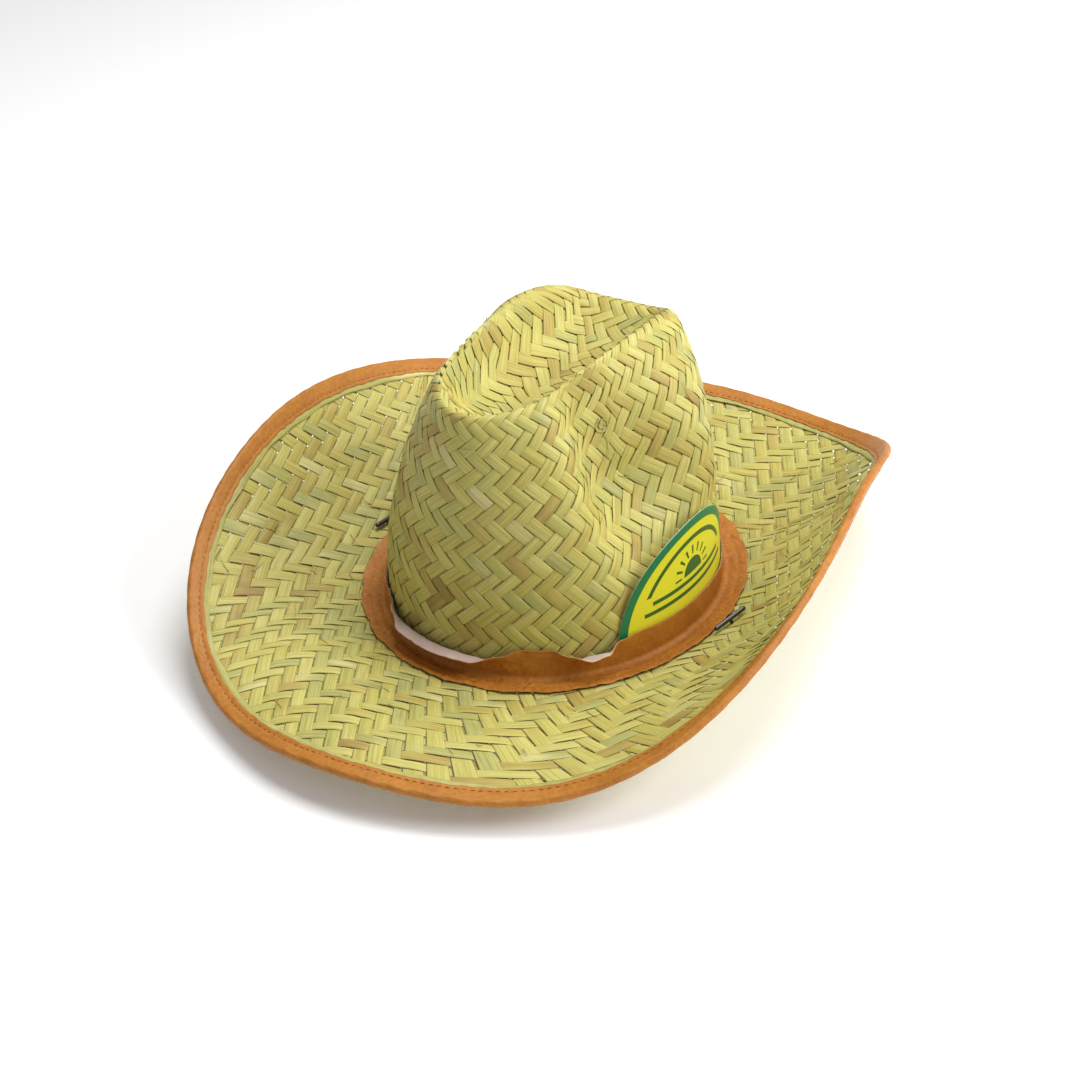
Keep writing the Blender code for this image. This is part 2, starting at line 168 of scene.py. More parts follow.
def brim_slopes(angle):
    """How steeply the brim rises at the crown and at its edge. It curls up at the sides."""
    def c(times):
        return np.cos(times * angle)

    def s(times):
        return np.sin(times * angle)

    inner = 12.7 + 3.1 * c(1) - 1.8 * c(2) - 4.2 * s(1)
    outer = (30.0 - 8.3 * c(1) - 33.0 * c(2) + 2.9 * c(3) + 6.1 * c(4) + 1.7 * c(5) + 3.0 * c(6)
             + 8.6 * s(1) - 6.3 * s(2) + 4.3 * s(4))
    return np.radians(inner), np.radians(outer)


def brim_reach(angle):
    return BRIM_WIDTH + BRIM_WAVE * np.cos(3.0 * angle)


def brim_bend(angle):
    inner, outer = brim_slopes(angle)
    bend = (outer - inner) / brim_reach(angle)
    return inner, np.where(np.abs(bend) < 0.01, 0.01, bend)


def brim_face(angle, reach):
    """A point on the brim's upper face, at a distance from the crown measured along the brim."""
    inner, bend = brim_bend(angle)
    slope = inner + bend * reach
    point, _ = base_point(angle, (np.sin(slope) - np.sin(inner)) / bend)
    point[..., 2] += (np.cos(inner) - np.cos(slope)) / bend
    return point


def brim_normal(angle, reach):
    outwards = brim_face(angle, reach + PROBE) - brim_face(angle, reach - PROBE)
    around = brim_face(angle + PROBE, reach) - brim_face(angle - PROBE, reach)
    return unit(np.cross(outwards, around))


def brim_point(angle, reach, above=0.0):
    angle, reach = np.broadcast_arrays(np.asarray(angle, float), reach)
    return brim_face(angle, reach) + brim_normal(angle, reach) * np.asarray(above)[..., None]


# ---------------- the crown as a table

TABLE_ANGLES, TABLE_STEPS = 360, 120
WALL_POINTS, SHOULDER_POINTS, BASIN_POINTS = 70, 17, 50


def crown_table():
    """Points on the crown's outside: for each angle, even steps up the wall and then over to the middle."""
    angle = np.linspace(0.0, 2.0 * np.pi, TABLE_ANGLES + 1)[:, None]
    wall = wall_point(angle, np.linspace(0.0, SHOULDER_LOW, WALL_POINTS)[None, :])
    low, corner, inner = wall[:, -1:], wall_point(angle, 1.0), basin_point(angle, SHOULDER_IN)
    share = np.linspace(0.0, 1.0, SHOULDER_POINTS)[None, 1:-1, None]
    ridge = low * (1.0 - share) ** 2 + corner * (2.0 * share * (1.0 - share)) + inner * share ** 2
    basin = basin_point(angle, np.linspace(SHOULDER_IN, 0.0, BASIN_POINTS)[None, :])
    profiles = np.concatenate([wall, ridge, basin], axis=1)
    crest = wall.shape[1] + ridge.shape[1] // 2
    table, wall_lengths = [], []
    for profile in profiles:
        travelled = travel(profile)
        up = np.linspace(0.0, travelled[crest], TABLE_STEPS + 1)
        over = np.linspace(travelled[crest], travelled[-1], TABLE_STEPS + 1)[1:]
        table.append(at_stops(profile, travelled, np.concatenate([up, over])))
        wall_lengths.append(travelled[crest])
    return np.array(table), float(np.mean(wall_lengths))


def table_normals(table):
    around = np.gradient(table, axis=0)
    around[0] = around[-1] = (table[1] - table[-2]) / 2.0
    upward = np.gradient(table, axis=1)
    normals = unit(np.cross(around, upward))
    normals[:, -2:] = (0.0, 0.0, 1.0)
    return normals


def read_table(values, angle, step):
    """Values between the table's own, for angles in radians and steps from 0, the base, to 2, the middle."""
    column = np.mod(angle / (2.0 * np.pi), 1.0) * TABLE_ANGLES
    row = np.clip(step, 0.0, 2.0) * TABLE_STEPS
    left = np.minimum(column.astype(int), TABLE_ANGLES - 1)
    low = np.minimum(row.astype(int), 2 * TABLE_STEPS - 1)
    across, upward = (column - left)[..., None], (row - low)[..., None]
    below = values[left, low] * (1.0 - across) + values[left + 1, low] * across
    above = values[left, low + 1] * (1.0 - across) + values[left + 1, low + 1] * across
    return below * (1.0 - upward) + above * upward


# ---------------- plaiting

STRAND_THICK = 0.00034
STRAND_LIFT = 0.00042       # how far a strand rides over or under the middle of the straw
STEPS_PER_CROSSING = 4


def lifts(signs, steps):
    """Heights along a strand that goes over (1) or under (-1) at each crossing."""
    here, there = signs[:-1, None], signs[1:, None]
    share = smooth(np.linspace(0.0, 1.0, steps, endpoint=False))[None, :]
    between = here + (there - here) * share
    return np.append(between.ravel(), signs[-1]) * STRAND_LIFT


# A strand's cross-section, from one edge over the top and back under: share of its half width, height
SECTION = ((-1.0, -0.10), (-0.86, 0.42), (0.0, 0.62), (0.86, 0.42), (1.0, -0.10), (0.80, -0.5), (-0.80, -0.5))


def plaited_over(row, rising):
    """Whether a strand shows at a row of crossings. The twill goes over two strands and under two."""
    return (row % 4 < 2) == rising


def strand_rings(left, middle, right, normal, lift):
    """Rings of points round a flat strand that runs between its left and right edges."""
    rings = []
    for share, height in SECTION:
        side = left if share < 0.0 else right
        point = middle + (side - middle) * abs(share)
        rings.append(point + normal * (lift + height * STRAND_THICK)[:, None])
    return np.stack(rings, axis=1)


class MeshParts:
    """Gathers vertices, faces and their surface coordinates for one mesh."""

    def __init__(self):
        self.points, self.faces, self.grain, self.tint, self.count = [], [], [], [], 0

    def add(self, points, faces, grain, tint):
        self.points.append(points.reshape(-1, 3))
        self.faces += [tuple(int(i) + self.count for i in face) for face in faces]
        self.grain.append(grain.reshape(-1, 3))
        self.tint.append(np.broadcast_to(tint, len(points.reshape(-1, 3))).astype(float))
        self.count += len(self.points[-1])

    def add_tube(self, rings, grain, tint):
        """A closed tube through rings of points, with flat ends."""
        count, sides = rings.shape[:2]
        index = np.arange(count * sides).reshape(count, sides)
        after = np.roll(index, -1, axis=1)
        quads = np.stack([index[:-1], after[:-1], after[1:], index[1:]], axis=-1).reshape(-1, 4)
        ends = [tuple(index[0][::-1]), tuple(index[-1])]
        self.add(rings, list(map(tuple, quads)) + ends, grain, tint)

    def make(self, name, finish, slot, replaced=(), body="hat"):
        mesh = bpy.data.meshes.new(name)
        mesh.from_pydata(np.concatenate(self.points).tolist(), [], self.faces)
        mesh.shade_smooth()
        mesh.attributes.new("grain", "FLOAT_VECTOR", "POINT").data.foreach_set(
            "vector", np.concatenate(self.grain).astype(np.float32).ravel())
        mesh.attributes.new("tint", "FLOAT", "POINT").data.foreach_set(
            "value", np.concatenate(self.tint).astype(np.float32))
        mesh.materials.append(finish)
        made = bpy.data.objects.new(name, mesh)
        bpy.context.scene.collection.objects.link(made)
        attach(made, body)
        if replaced:
            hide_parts(*replaced)
        return made


OWN_ALONG, OWN_GRAIN = 40.0, 90.0       # how far apart strands may lie in the grain's noise


def add_strand(parts, left, middle, right, normal, lift, random):
    """Adds one strand to a mesh, with its own tint and a place of its own in the grain."""
    rings = strand_rings(left, middle, right, normal, lift)
    half = np.linalg.norm(right - left, axis=1) / 2.0
    along = travel(middle) + random.uniform(0.0, OWN_ALONG)
    across = np.array([share for share, _ in SECTION])
    own = random.uniform(0.0, OWN_GRAIN)
    grain = stack(along[:, None], half[:, None] * across[None, :], own)
    parts.add_tube(rings, grain, random.uniform())


# ---------------- the plaited crown

# The crown is plaited on the bias like a box: a rectangle of straw on top, SPAN_X by SPAN_Y strands, whose
# four edges turn down into the walls. A box place is (X, Y), in strands from the rectangle's middle, or
# (way round, drop) on the walls, in strands round from the front and down from the ridge.
SPAN_X, SPAN_Y = 9, 19
STRANDS = 2 * (SPAN_X + SPAN_Y)
HALF_X, HALF_Y = SPAN_X / 2.0, SPAN_Y / 2.0
CROWN_FILL = 0.955      # share of its place that a strand's width fills
CROWN_WIDTHS, BRIM_WIDTHS = (-0.09, 0.02), (-0.11, 0.03)        # how much strands differ in width
ON_EDGE, NUDGE = 1e-6, 1e-3


class Crown:
    """The crown's outside, and the plait's coordinates on it."""

    def __init__(self):
        self.table, wall_length = crown_table()
        self.normals = table_normals(self.table)
        rings = np.linalg.norm(np.diff(self.table, axis=0), axis=-1)
        self.round_base, self.round_rim = (travel(self.table[:, step]) for step in (0, TABLE_STEPS))
        strand = rings.sum(axis=0)[:TABLE_STEPS + 1] / STRANDS
        fall = wall_length / TABLE_STEPS / strand
        drop = np.concatenate([[0.0], np.cumsum((fall[:-1] + fall[1:]) / 2.0)])
        self.drops = drop[-1] - drop
        self.height = float(self.drops[0])
        self.angle = np.linspace(0.0, 2.0 * np.pi, TABLE_ANGLES + 1)
        rim_x, rim_y, _ = rim_point(self.angle)
        length = np.where(np.cos(self.angle) > 0.0, RIM_FRONT, RIM_BACK)
        self.rim_direction = np.unwrap(np.arctan2(rim_x / RIM_X, -rim_y / length))
        way = np.linspace(0.0, STRANDS, 8 * STRANDS + 1)
        x, y = self.rectangle_edge(way)
        u, v = self.disc(x / HALF_X, y / HALF_Y)
        self.edge_way, self.edge_direction = way, np.unwrap(np.arctan2(u, -v))

    @staticmethod
    def rectangle_edge(way):
        """The place on the rectangle's edge, for a way round from the middle of its front."""
        way = np.mod(way, STRANDS)
        corners = HALF_X, HALF_X + SPAN_Y, 3 * HALF_X + SPAN_Y, 3 * HALF_X + 2 * SPAN_Y
        before = [way < corner for corner in corners]
        x = np.select(before, [way, HALF_X, 2 * HALF_X + SPAN_Y - way, -HALF_X], way - STRANDS)
        y = np.select(before, [-HALF_Y, way - HALF_X - HALF_Y, HALF_Y, 3 * HALF_X + 3 * HALF_Y - way],
                      -HALF_Y)
        return x, y

    @staticmethod
    def way_round(x, y, beside):
        """The way round of a place on the rectangle's edge, beside it or at its front or back."""
        at_side = np.where(x > 0, HALF_X + HALF_Y + y, 3 * HALF_X + 3 * HALF_Y - y)
        return np.where(beside, at_side, np.where(y < 0, x, 2 * HALF_X + SPAN_Y - x))

    @staticmethod
    def disc(x, y):
        """A square from -1 to 1 as a round disc, smooth all over."""
        return x * np.sqrt(1.0 - y * y / 2.0), y * np.sqrt(1.0 - x * x / 2.0)

    def wall_place(self, way, drop):
        share = smooth(drop / self.height)
        inside = way - np.floor(way / STRANDS) * STRANDS
        base = np.interp(inside / STRANDS * self.round_base[-1], self.round_base, self.angle)
        rim = np.interp(inside / STRANDS * self.round_rim[-1], self.round_rim, self.angle)
        step = np.interp(drop, self.drops[::-1], np.linspace(1.0, 0.0, TABLE_STEPS + 1))
        return rim * (1.0 - share) + base * share, step

    def top_place(self, x, y):
        u, v = self.disc(np.clip(x / HALF_X, -1, 1), np.clip(y / HALF_Y, -1, 1))
        share = np.minimum(np.hypot(u, v), 1.0)
        direction = np.mod(np.arctan2(u, -v), 2.0 * np.pi)
        straight = np.interp(direction, self.rim_direction, self.angle)
        way = np.interp(direction, self.edge_direction, self.edge_way)
        edge = np.interp(way / STRANDS * self.round_rim[-1], self.round_rim, self.angle)
        weight = smooth(share ** 2)
        return straight * (1.0 - weight) + edge * weight, 2.0 - share

    def place(self, way, drop):
        """Angle and table step. Where the drop is negative, the place is on top, inwards from the edge."""
        x, y = self.rectangle_edge(way)
        beside = np.abs(np.abs(x) - HALF_X) < ON_EDGE
        inward = np.minimum(drop, 0.0)
        x = np.where(beside, x + np.sign(x) * inward, x)
        y = np.where(beside, y, y + np.sign(y) * inward)
        top_angle, top_step = self.top_place(x, y)
        wall_angle, wall_step = self.wall_place(way, np.maximum(drop, 0.0))
        return np.where(drop < 0.0, top_angle, wall_angle), np.where(drop < 0.0, top_step, wall_step)

    def at(self, angle, step):
        return read_table(self.table, angle, step), unit(read_table(self.normals, angle, step))


def wall_edges(crown, way, drop, turn, half):
    """A strand's two edges and middle on a wall. Across it, way and drop change together."""
    return [crown.at(*crown.place(way + aside * turn, drop + aside)) for aside in (-half, 0.0, half)]


def top_edges(crown, x, y, heading, half):
    """A strand's two edges and middle on top, where it runs straight across the rectangle."""
    results = []
    for share in (-1.0, 0.0, 1.0):
        px, py = x - heading[1] * share * half, y + heading[0] * share * half
        over_x, over_y = np.abs(px) - HALF_X, np.abs(py) - HALF_Y
        beside = over_x >= over_y
        way = crown.way_round(px, py, beside)
        results.append(crown.at(*crown.place(way, np.where(beside, over_x, over_y))))
    return results


def shows_on_top(x, y, heading):
    over_x, over_y = np.abs(x) - HALF_X, np.abs(y) - HALF_Y
    beside = over_x >= over_y
    row = np.round(2.0 * np.where(beside, over_x, over_y)).astype(int)
    return plaited_over(row, beside == (heading[0] * heading[1] < 0))


def course_over_top(crown, rim_way, turn):
    """A strand's start on top, heading and length there, and where and how it turns down again."""
    start = np.array([float(v) for v in crown.rectangle_edge(np.array(rim_way))])
    ahead = np.array([float(v) for v in crown.rectangle_edge(np.array(rim_way + NUDGE))])
    slide = (ahead - start) / NUDGE * turn
    beside = abs(abs(start[0]) - HALF_X) < ON_EDGE
    inward = np.array([-np.sign(start[0]), 0.0]) if beside else np.array([0.0, -np.sign(start[1])])
    heading = np.round(slide + inward)
    length = min(HALF_X - heading[0] * start[0], HALF_Y - heading[1] * start[1])
    end = start + heading * length
    beside = abs(abs(end[0]) - HALF_X) < ON_EDGE
    end_turn = np.sign(end[0]) * heading[1] if beside else -np.sign(end[1]) * heading[0]
    return start, heading, length, float(crown.way_round(end[0], end[1], beside)) % STRANDS, end_turn


def lined_up(edges, before):
    """The edges in the order that carries on from the edges before, whose first one comes first."""
    near, far = (np.linalg.norm(edges[0][side][0] - before[0][0][-1]) for side in (0, 2))
    return (edges[0][::-1], edges[1]) if near > far else edges


def crown_strand(crown, rim_way, turn, course, half):
    """The edges and middle, normals and lifts of a strand that goes up a wall, over and down another."""
    step = 1.0 / (2 * STEPS_PER_CROSSING)
    start, heading, length, end_way, end_turn = course
    drop_up = np.arange(math.ceil(crown.height / 0.5) * STEPS_PER_CROSSING, -1, -1) * step
    drop_down = drop_up[::-1]
    steps = np.arange(1, round(length / step)) * step
    top_x, top_y = start[0] + heading[0] * steps, start[1] + heading[1] * steps
    stretches = []
    for edges in (wall_edges(crown, rim_way - turn * drop_up, drop_up, turn, half),
                  top_edges(crown, top_x, top_y, heading, half),
                  wall_edges(crown, end_way + end_turn * drop_down, drop_down, -end_turn, half)):
        stretch = np.stack([place for place, _ in edges]), edges[1][1]
        stretches.append(lined_up(stretch, stretches[-1]) if stretches else stretch)
    drops = np.concatenate([drop_up, np.zeros(len(steps)), drop_down])
    over = np.concatenate([plaited_over(np.round(2.0 * drop_up).astype(int), turn > 0),
                           shows_on_top(top_x, top_y, heading),
                           plaited_over(np.round(2.0 * drop_down).astype(int), end_turn < 0)])
    lift = lifts(np.where(over[::STEPS_PER_CROSSING], 1.0, -1.0), STEPS_PER_CROSSING)
    kept = drops <= crown.height
    normal = np.concatenate([normals for _, normals in stretches])[kept]
    return np.concatenate([edges for edges, _ in stretches], axis=1)[:, kept], normal, lift[:len(drops)][kept]


def add_sunk_strand(parts, edges, normal, lift, wave, random):
    """Adds a strand to a plait whose middle lies half the straw's thickness below the surface."""
    left, middle, right = edges
    if np.dot(np.cross(middle[1] - middle[0], right[0] - left[0]), normal[0]) > 0:
        left, right = right, left
    shift = normal * (np.asarray(wave) - STRAW / 2.0)[..., None]
    add_strand(parts, left + shift, middle + shift, right + shift, normal, lift, random)


def plait_crown(finish):
    """All the crown's strands, as two meshes. Each strand starts at the base and ends there again."""
    crown = Crown()
    random = np.random.default_rng(11)
    meshes = [MeshParts(), MeshParts()]
    seen, number = set(), 0
    for rising in (True, False):
        turn = 1.0 if rising else -1.0
        for index in range(STRANDS):
            rim_way = (index + (HALF_Y + 0.5) % 1.0) % STRANDS
            if (rising, round(rim_way, 3)) in seen:
                continue
            course = course_over_top(crown, rim_way, turn)
            end_way, end_turn = course[-2:]
            seen |= {(bool(end_turn < 0), round(end_way, 3)), (rising, round(rim_way, 3))}
            half = 0.25 * CROWN_FILL * (1.0 + random.uniform(*CROWN_WIDTHS))
            edges, normal, lift = crown_strand(crown, rim_way, turn, course, half)
            add_sunk_strand(meshes[number % 2], edges, normal, lift, 0.0, random)
            number += 1
    for mesh, name in zip(meshes, ("crown_straw_a", "crown_straw_b")):
        mesh.make(name, finish, "straw", ("crown",))
    return crown


# ---------------- the plaited brim

BRIM_STRAND = 0.0079        # a strand's place, from the middle of one to the middle of the next
BRIM_FILL = 0.950
PLAIT_REACH = 0.235         # how far the plait is laid out, from the hat's middle
BRIM_STOPS = -0.0010, 0.0046        # where strands end: past the junction, and inside the binding
BRIM_KEPT = 0.0004, 0.0043          # and where their edges are held back to
BRIM_HEADING = math.radians(35.0)       # the plait was laid this far round from the hat's own axes
BRIM_TURN = math.radians(-4.0)
PULL_HEIGHT, PULL_MIDDLE, PULL_HALF = 0.012, -0.040, 0.100      # the plait is pulled round the front
LEAN_START, LEAN_RATE = -0.090, 4.2     # and leans more and more towards its edge
SIDE_START, SIDE_BLEND = 0.070, 0.060   # both sides are pulled a little too
LEFT_SLOPE, RIGHT_SLOPE, BACK_LEAN = 0.25, -0.40, 0.25


def flat_to_brim(x, y):
    """Angle and reach of a place on the brim laid flat, measured from the middle of the crown's base."""
    angle = np.arctan2(x / BASE_X, -y / BASE_Y)
    for _ in range(6):
        sine, cosine = np.sin(angle), np.cos(angle)
        dx, dy = x - BASE_X * sine, y + BASE_Y * cosine
        along_x, along_y = BASE_X * cosine, BASE_Y * sine
        size = np.hypot(along_x, along_y)
        out = (dx * along_y - dy * along_x) / size
        angle = angle + (dx * along_x + dy * along_y) / size / (size + np.maximum(out, 0.0))
    return angle, out


def turned(x, y, angle):
    return x * math.cos(angle) - y * math.sin(angle), x * math.sin(angle) + y * math.cos(angle)


def plait_to_flat(u, v):
    """Where a place in the brim's plait lies on the flat brim, in metres."""
    x, y = turned(u, v, BRIM_TURN)
    swing = np.clip((x - PULL_MIDDLE) / PULL_HALF, -2.0, 2.0)
    pull = PULL_HEIGHT * (1.0 - np.cos(np.pi * swing))
    lean = LEAN_RATE * np.maximum(LEAN_START - y, 0.0) ** 2 * smooth((x + 0.10) / 0.08)
    left, right = smooth((-x - SIDE_START) / SIDE_BLEND), smooth((x - SIDE_START) / SIDE_BLEND)
    lean = lean + BACK_LEAN * np.maximum(y - 0.02, 0.0) * left
    slope = (LEFT_SLOPE * (x + SIDE_START) * left * np.exp(-(y / 0.08) ** 2)
             + RIGHT_SLOPE * (x - SIDE_START) * right * smooth(y / SIDE_BLEND))
    return turned(x + lean, y + pull * smooth((0.03 - y) / 0.13) + slope, BRIM_HEADING)


HOLE_FLAT = 0.019       # how far round a hole the toggle bar needs the straw flat


def near_hole(angle, reach):
    """1 at a chin cord's hole, falling to 0 a little way off."""
    total = 0.0
    for hole in HOLE_ANGLES.values():
        around = around_from(angle, hole) * BASE_Y
        total = total + np.exp(-(around ** 2 + (reach - HOLE_REACH) ** 2) / HOLE_FLAT ** 2)
    return total


def uneven(x, y):
    """The straw's slight unevenness, in metres."""
    broad = np.sin(61.0 * x + 1.3) * np.sin(53.0 * y + 0.4) + 0.7 * np.sin(97.0 * x - 88.0 * y + 2.1)
    return 0.00035 * (broad + 0.5 * np.sin(131.0 * x + 119.0 * y))


def brim_runs(rows):
    """The stretches of a laid-out strand that lie on the brim, as slices."""
    angle, reach, _ = rows[1]
    inner = np.minimum(rows[0][1], rows[2][1])
    inside = (reach > BRIM_STOPS[0]) & (inner < brim_reach(angle) - BRIM_STOPS[1])
    changes = np.flatnonzero(np.diff(np.concatenate([[0], inside.astype(int), [0]])))
    return [slice(first, last) for first, last in zip(changes[::2], changes[1::2]) if last - first >= 3]


def plait_brim(finish):
    """All the brim's strands: one mesh for each of the two directions."""
    random = np.random.default_rng(23)
    count = int(PLAIT_REACH / BRIM_STRAND)
    crossing = np.arange(-count, count + 1)
    fine = count * STEPS_PER_CROSSING
    along = np.arange(-fine, fine + 1) * (BRIM_STRAND / STEPS_PER_CROSSING)
    for first_way, name in ((True, "brim_straw_a"), (False, "brim_straw_b")):
        parts = MeshParts()
        for line in range(-count, count + 1):
            over = plaited_over(line - crossing if first_way else crossing - line, first_way)
            lift = lifts(np.where(over, 1.0, -1.0), STEPS_PER_CROSSING)
            half = 0.5 * BRIM_STRAND * BRIM_FILL * (1.0 + random.uniform(*BRIM_WIDTHS))
            rows = []
            for share in (-1.0, 0.0, 1.0):
                aside = np.full_like(along, line * BRIM_STRAND + share * half)
                flat = plait_to_flat(along, aside) if first_way else plait_to_flat(aside, along)
                angle, reach = flat_to_brim(*flat)
                settled = near_hole(angle, reach)
                rows.append((angle, reach, uneven(*flat) * (1.0 - settled) - 0.0005 * settled))
            for run in brim_runs(rows):
                edges, normals = [], []
                for angle, reach, _ in rows:
                    kept = np.clip(reach[run], BRIM_KEPT[0], brim_reach(angle[run]) - BRIM_KEPT[1])
                    edges.append(brim_face(angle[run], kept))
                    normals.append(brim_normal(angle[run], kept))
                add_sunk_strand(parts, edges, normals[1], lift[run], rows[1][2][run], random)
        parts.make(name, finish, "straw", ("brim",))


# ---------------- sewn strips

HEM_ROUND = 0.45        # how far a strip's edges stand out, as a share of its thickness


def shell(name, grid, thickness, finish, closed=True, **how):
    """A strip of even thickness under a grid of points: round the hat first, then across the strip."""
    if closed:
        around = np.roll(grid, -1, axis=0) - np.roll(grid, 1, axis=0)
    else:
        around = np.gradient(grid, axis=0)
    across = np.gradient(grid, axis=1)
    normal = unit(np.cross(around, across))
    inner = grid - normal * thickness
    first = (grid[:, 0] + inner[:, 0]) / 2.0 - unit(across[:, 0]) * thickness * HEM_ROUND
    last = (grid[:, -1] + inner[:, -1]) / 2.0 + unit(across[:, -1]) * thickness * HEM_ROUND
    loop = np.concatenate([grid, last[:, None], inner[:, ::-1], first[:, None]], axis=1)
    count, sides = loop.shape[:2]
    steps = np.linalg.norm(np.diff(loop, axis=1), axis=2)
    lengths = np.concatenate([np.zeros((count, 1)), np.cumsum(steps, axis=1)], axis=1)
    along = travel(grid[:, grid.shape[1] // 2])
    grain = stack(along[:, None], lengths, 0.0)
    parts = MeshParts()
    index = np.arange(count * sides).reshape(count, sides)
    after = np.roll(index, -1, axis=1)
    following = np.roll(index, -1, axis=0), np.roll(after, -1, axis=0)
    keep = slice(None) if closed else slice(0, -1)
    corners = [index[keep], following[0][keep], following[1][keep], after[keep]]
    faces = list(map(tuple, np.stack(corners, axis=-1).reshape(-1, 4)))
    if not closed:
        width = grid.shape[1]
        for row, flip in ((0, 1), (count - 1, -1)):
            ring = index[row]
            under = [ring[2 * width - step] for step in range(width)]
            cap = [(ring[step], ring[step + 1], under[step + 1], under[step]) for step in range(width - 1)]
            cap += [(ring[-1], ring[0], under[0]), (ring[width - 1], ring[width], under[width - 1])]
            faces += [tuple(face[::flip]) for face in cap]
    parts.add(loop, faces, grain, 0.5)
    return parts.make(name, finish, **how)


def ring_angles(count):
    return np.linspace(0.0, 2.0 * np.pi, count, endpoint=False)


def around_from(angle, degrees):
    """How far round the hat an angle is from a direction in degrees, from -pi to pi."""
    return np.mod(angle - math.radians(degrees) + np.pi, 2.0 * np.pi) - np.pi


def creases(angle, across, seed, number, width, depth):
    """Small random folds that run across a strip, as heights. across runs from 0 to 1 over the strip."""
    random = np.random.default_rng(seed)
    total = np.zeros(np.broadcast(angle, across).shape)
    for _ in range(number):
        middle, lean = random.uniform(0.0, 2.0 * np.pi), random.uniform(-0.14, 0.14)
        centre, reach = random.uniform(0.0, 1.0), random.uniform(0.25, 0.7)
        size, breadth = random.uniform(-1.0, 1.0) * depth, width * random.uniform(0.6, 1.8)
        away = np.mod(angle - middle - lean * (across - 0.5) + np.pi, 2.0 * np.pi) - np.pi
        total = total + size * np.exp(-(away / breadth) ** 2 - ((across - centre) / reach) ** 2)
    return total


def seam_dip(distance, width=0.0009):
    return np.exp(-(distance / width) ** 2)


# The hatband's free edge: degrees from the front, height above the junction in millimetres, and how far
# it curls out, in degrees. Behind it, at +X, stands the card.
BAND_EDGE = ((-180, 16.5, 4), (-150, 18.0, 6), (-120, 16.0, 3), (-90, 17.5, 3), (-60, 16.0, 3),
             (-38, 17.2, 6), (-29, 16.8, 34), (-20, 15.6, 76), (-5, 14.8, 82), (8, 15.4, 78),
             (16, 17.6, 30), (24, 20.6, 4), (33, 20.3, 4), (39, 17.4, 30), (45, 15.9, 76), (50, 16.8, 66),
             (55, 19.6, 12), (62, 20.5, 3), (90, 18.8, 2), (120, 15.0, 3), (150, 17.0, 6), (180, 16.5, 4))


def band_edge(angle):
    """Height and curl of the band's free edge, smoothly between the places above."""
    degrees = (np.degrees(angle) + 180.0) % 360.0 - 180.0
    table = np.array(BAND_EDGE)
    place = np.clip(np.searchsorted(table[:, 0], degrees, side="right") - 1, 0, len(table) - 2)
    share = smooth((degrees - table[place, 0]) / (table[place + 1, 0] - table[place, 0]))[..., None]
    values = table[place, 1:] * (1.0 - share) + table[place + 1, 1:] * share
    return values[..., 0] / 1000.0, np.radians(values[..., 1])


BAND_FOOT = 0.0042      # height at which the band stands upright
BAND_ROWS = 20
CURL_FROM, CURL_OVER = 0.38, 0.30       # the curl's start and length, as shares of the standing part
BAND_HUG = 0.0012       # how much nearer the free edge lies to the crown where it doesn't curl
CARD_SPAN = math.radians(38.0)      # half the arc where the card stands between the band and the crown
FLANGE_REACHES = (0.0170, 0.0165, 0.0155, 0.0140, 0.0128, 0.0121, 0.0115, 0.0109, 0.0100, 0.0088, 0.0076,
                  0.0067, 0.0060, 0.0053)
STRIP_STEPS = 900       # steps round the hat
LEATHER_THICK, BACKING_THICK = 0.00055, 0.00030


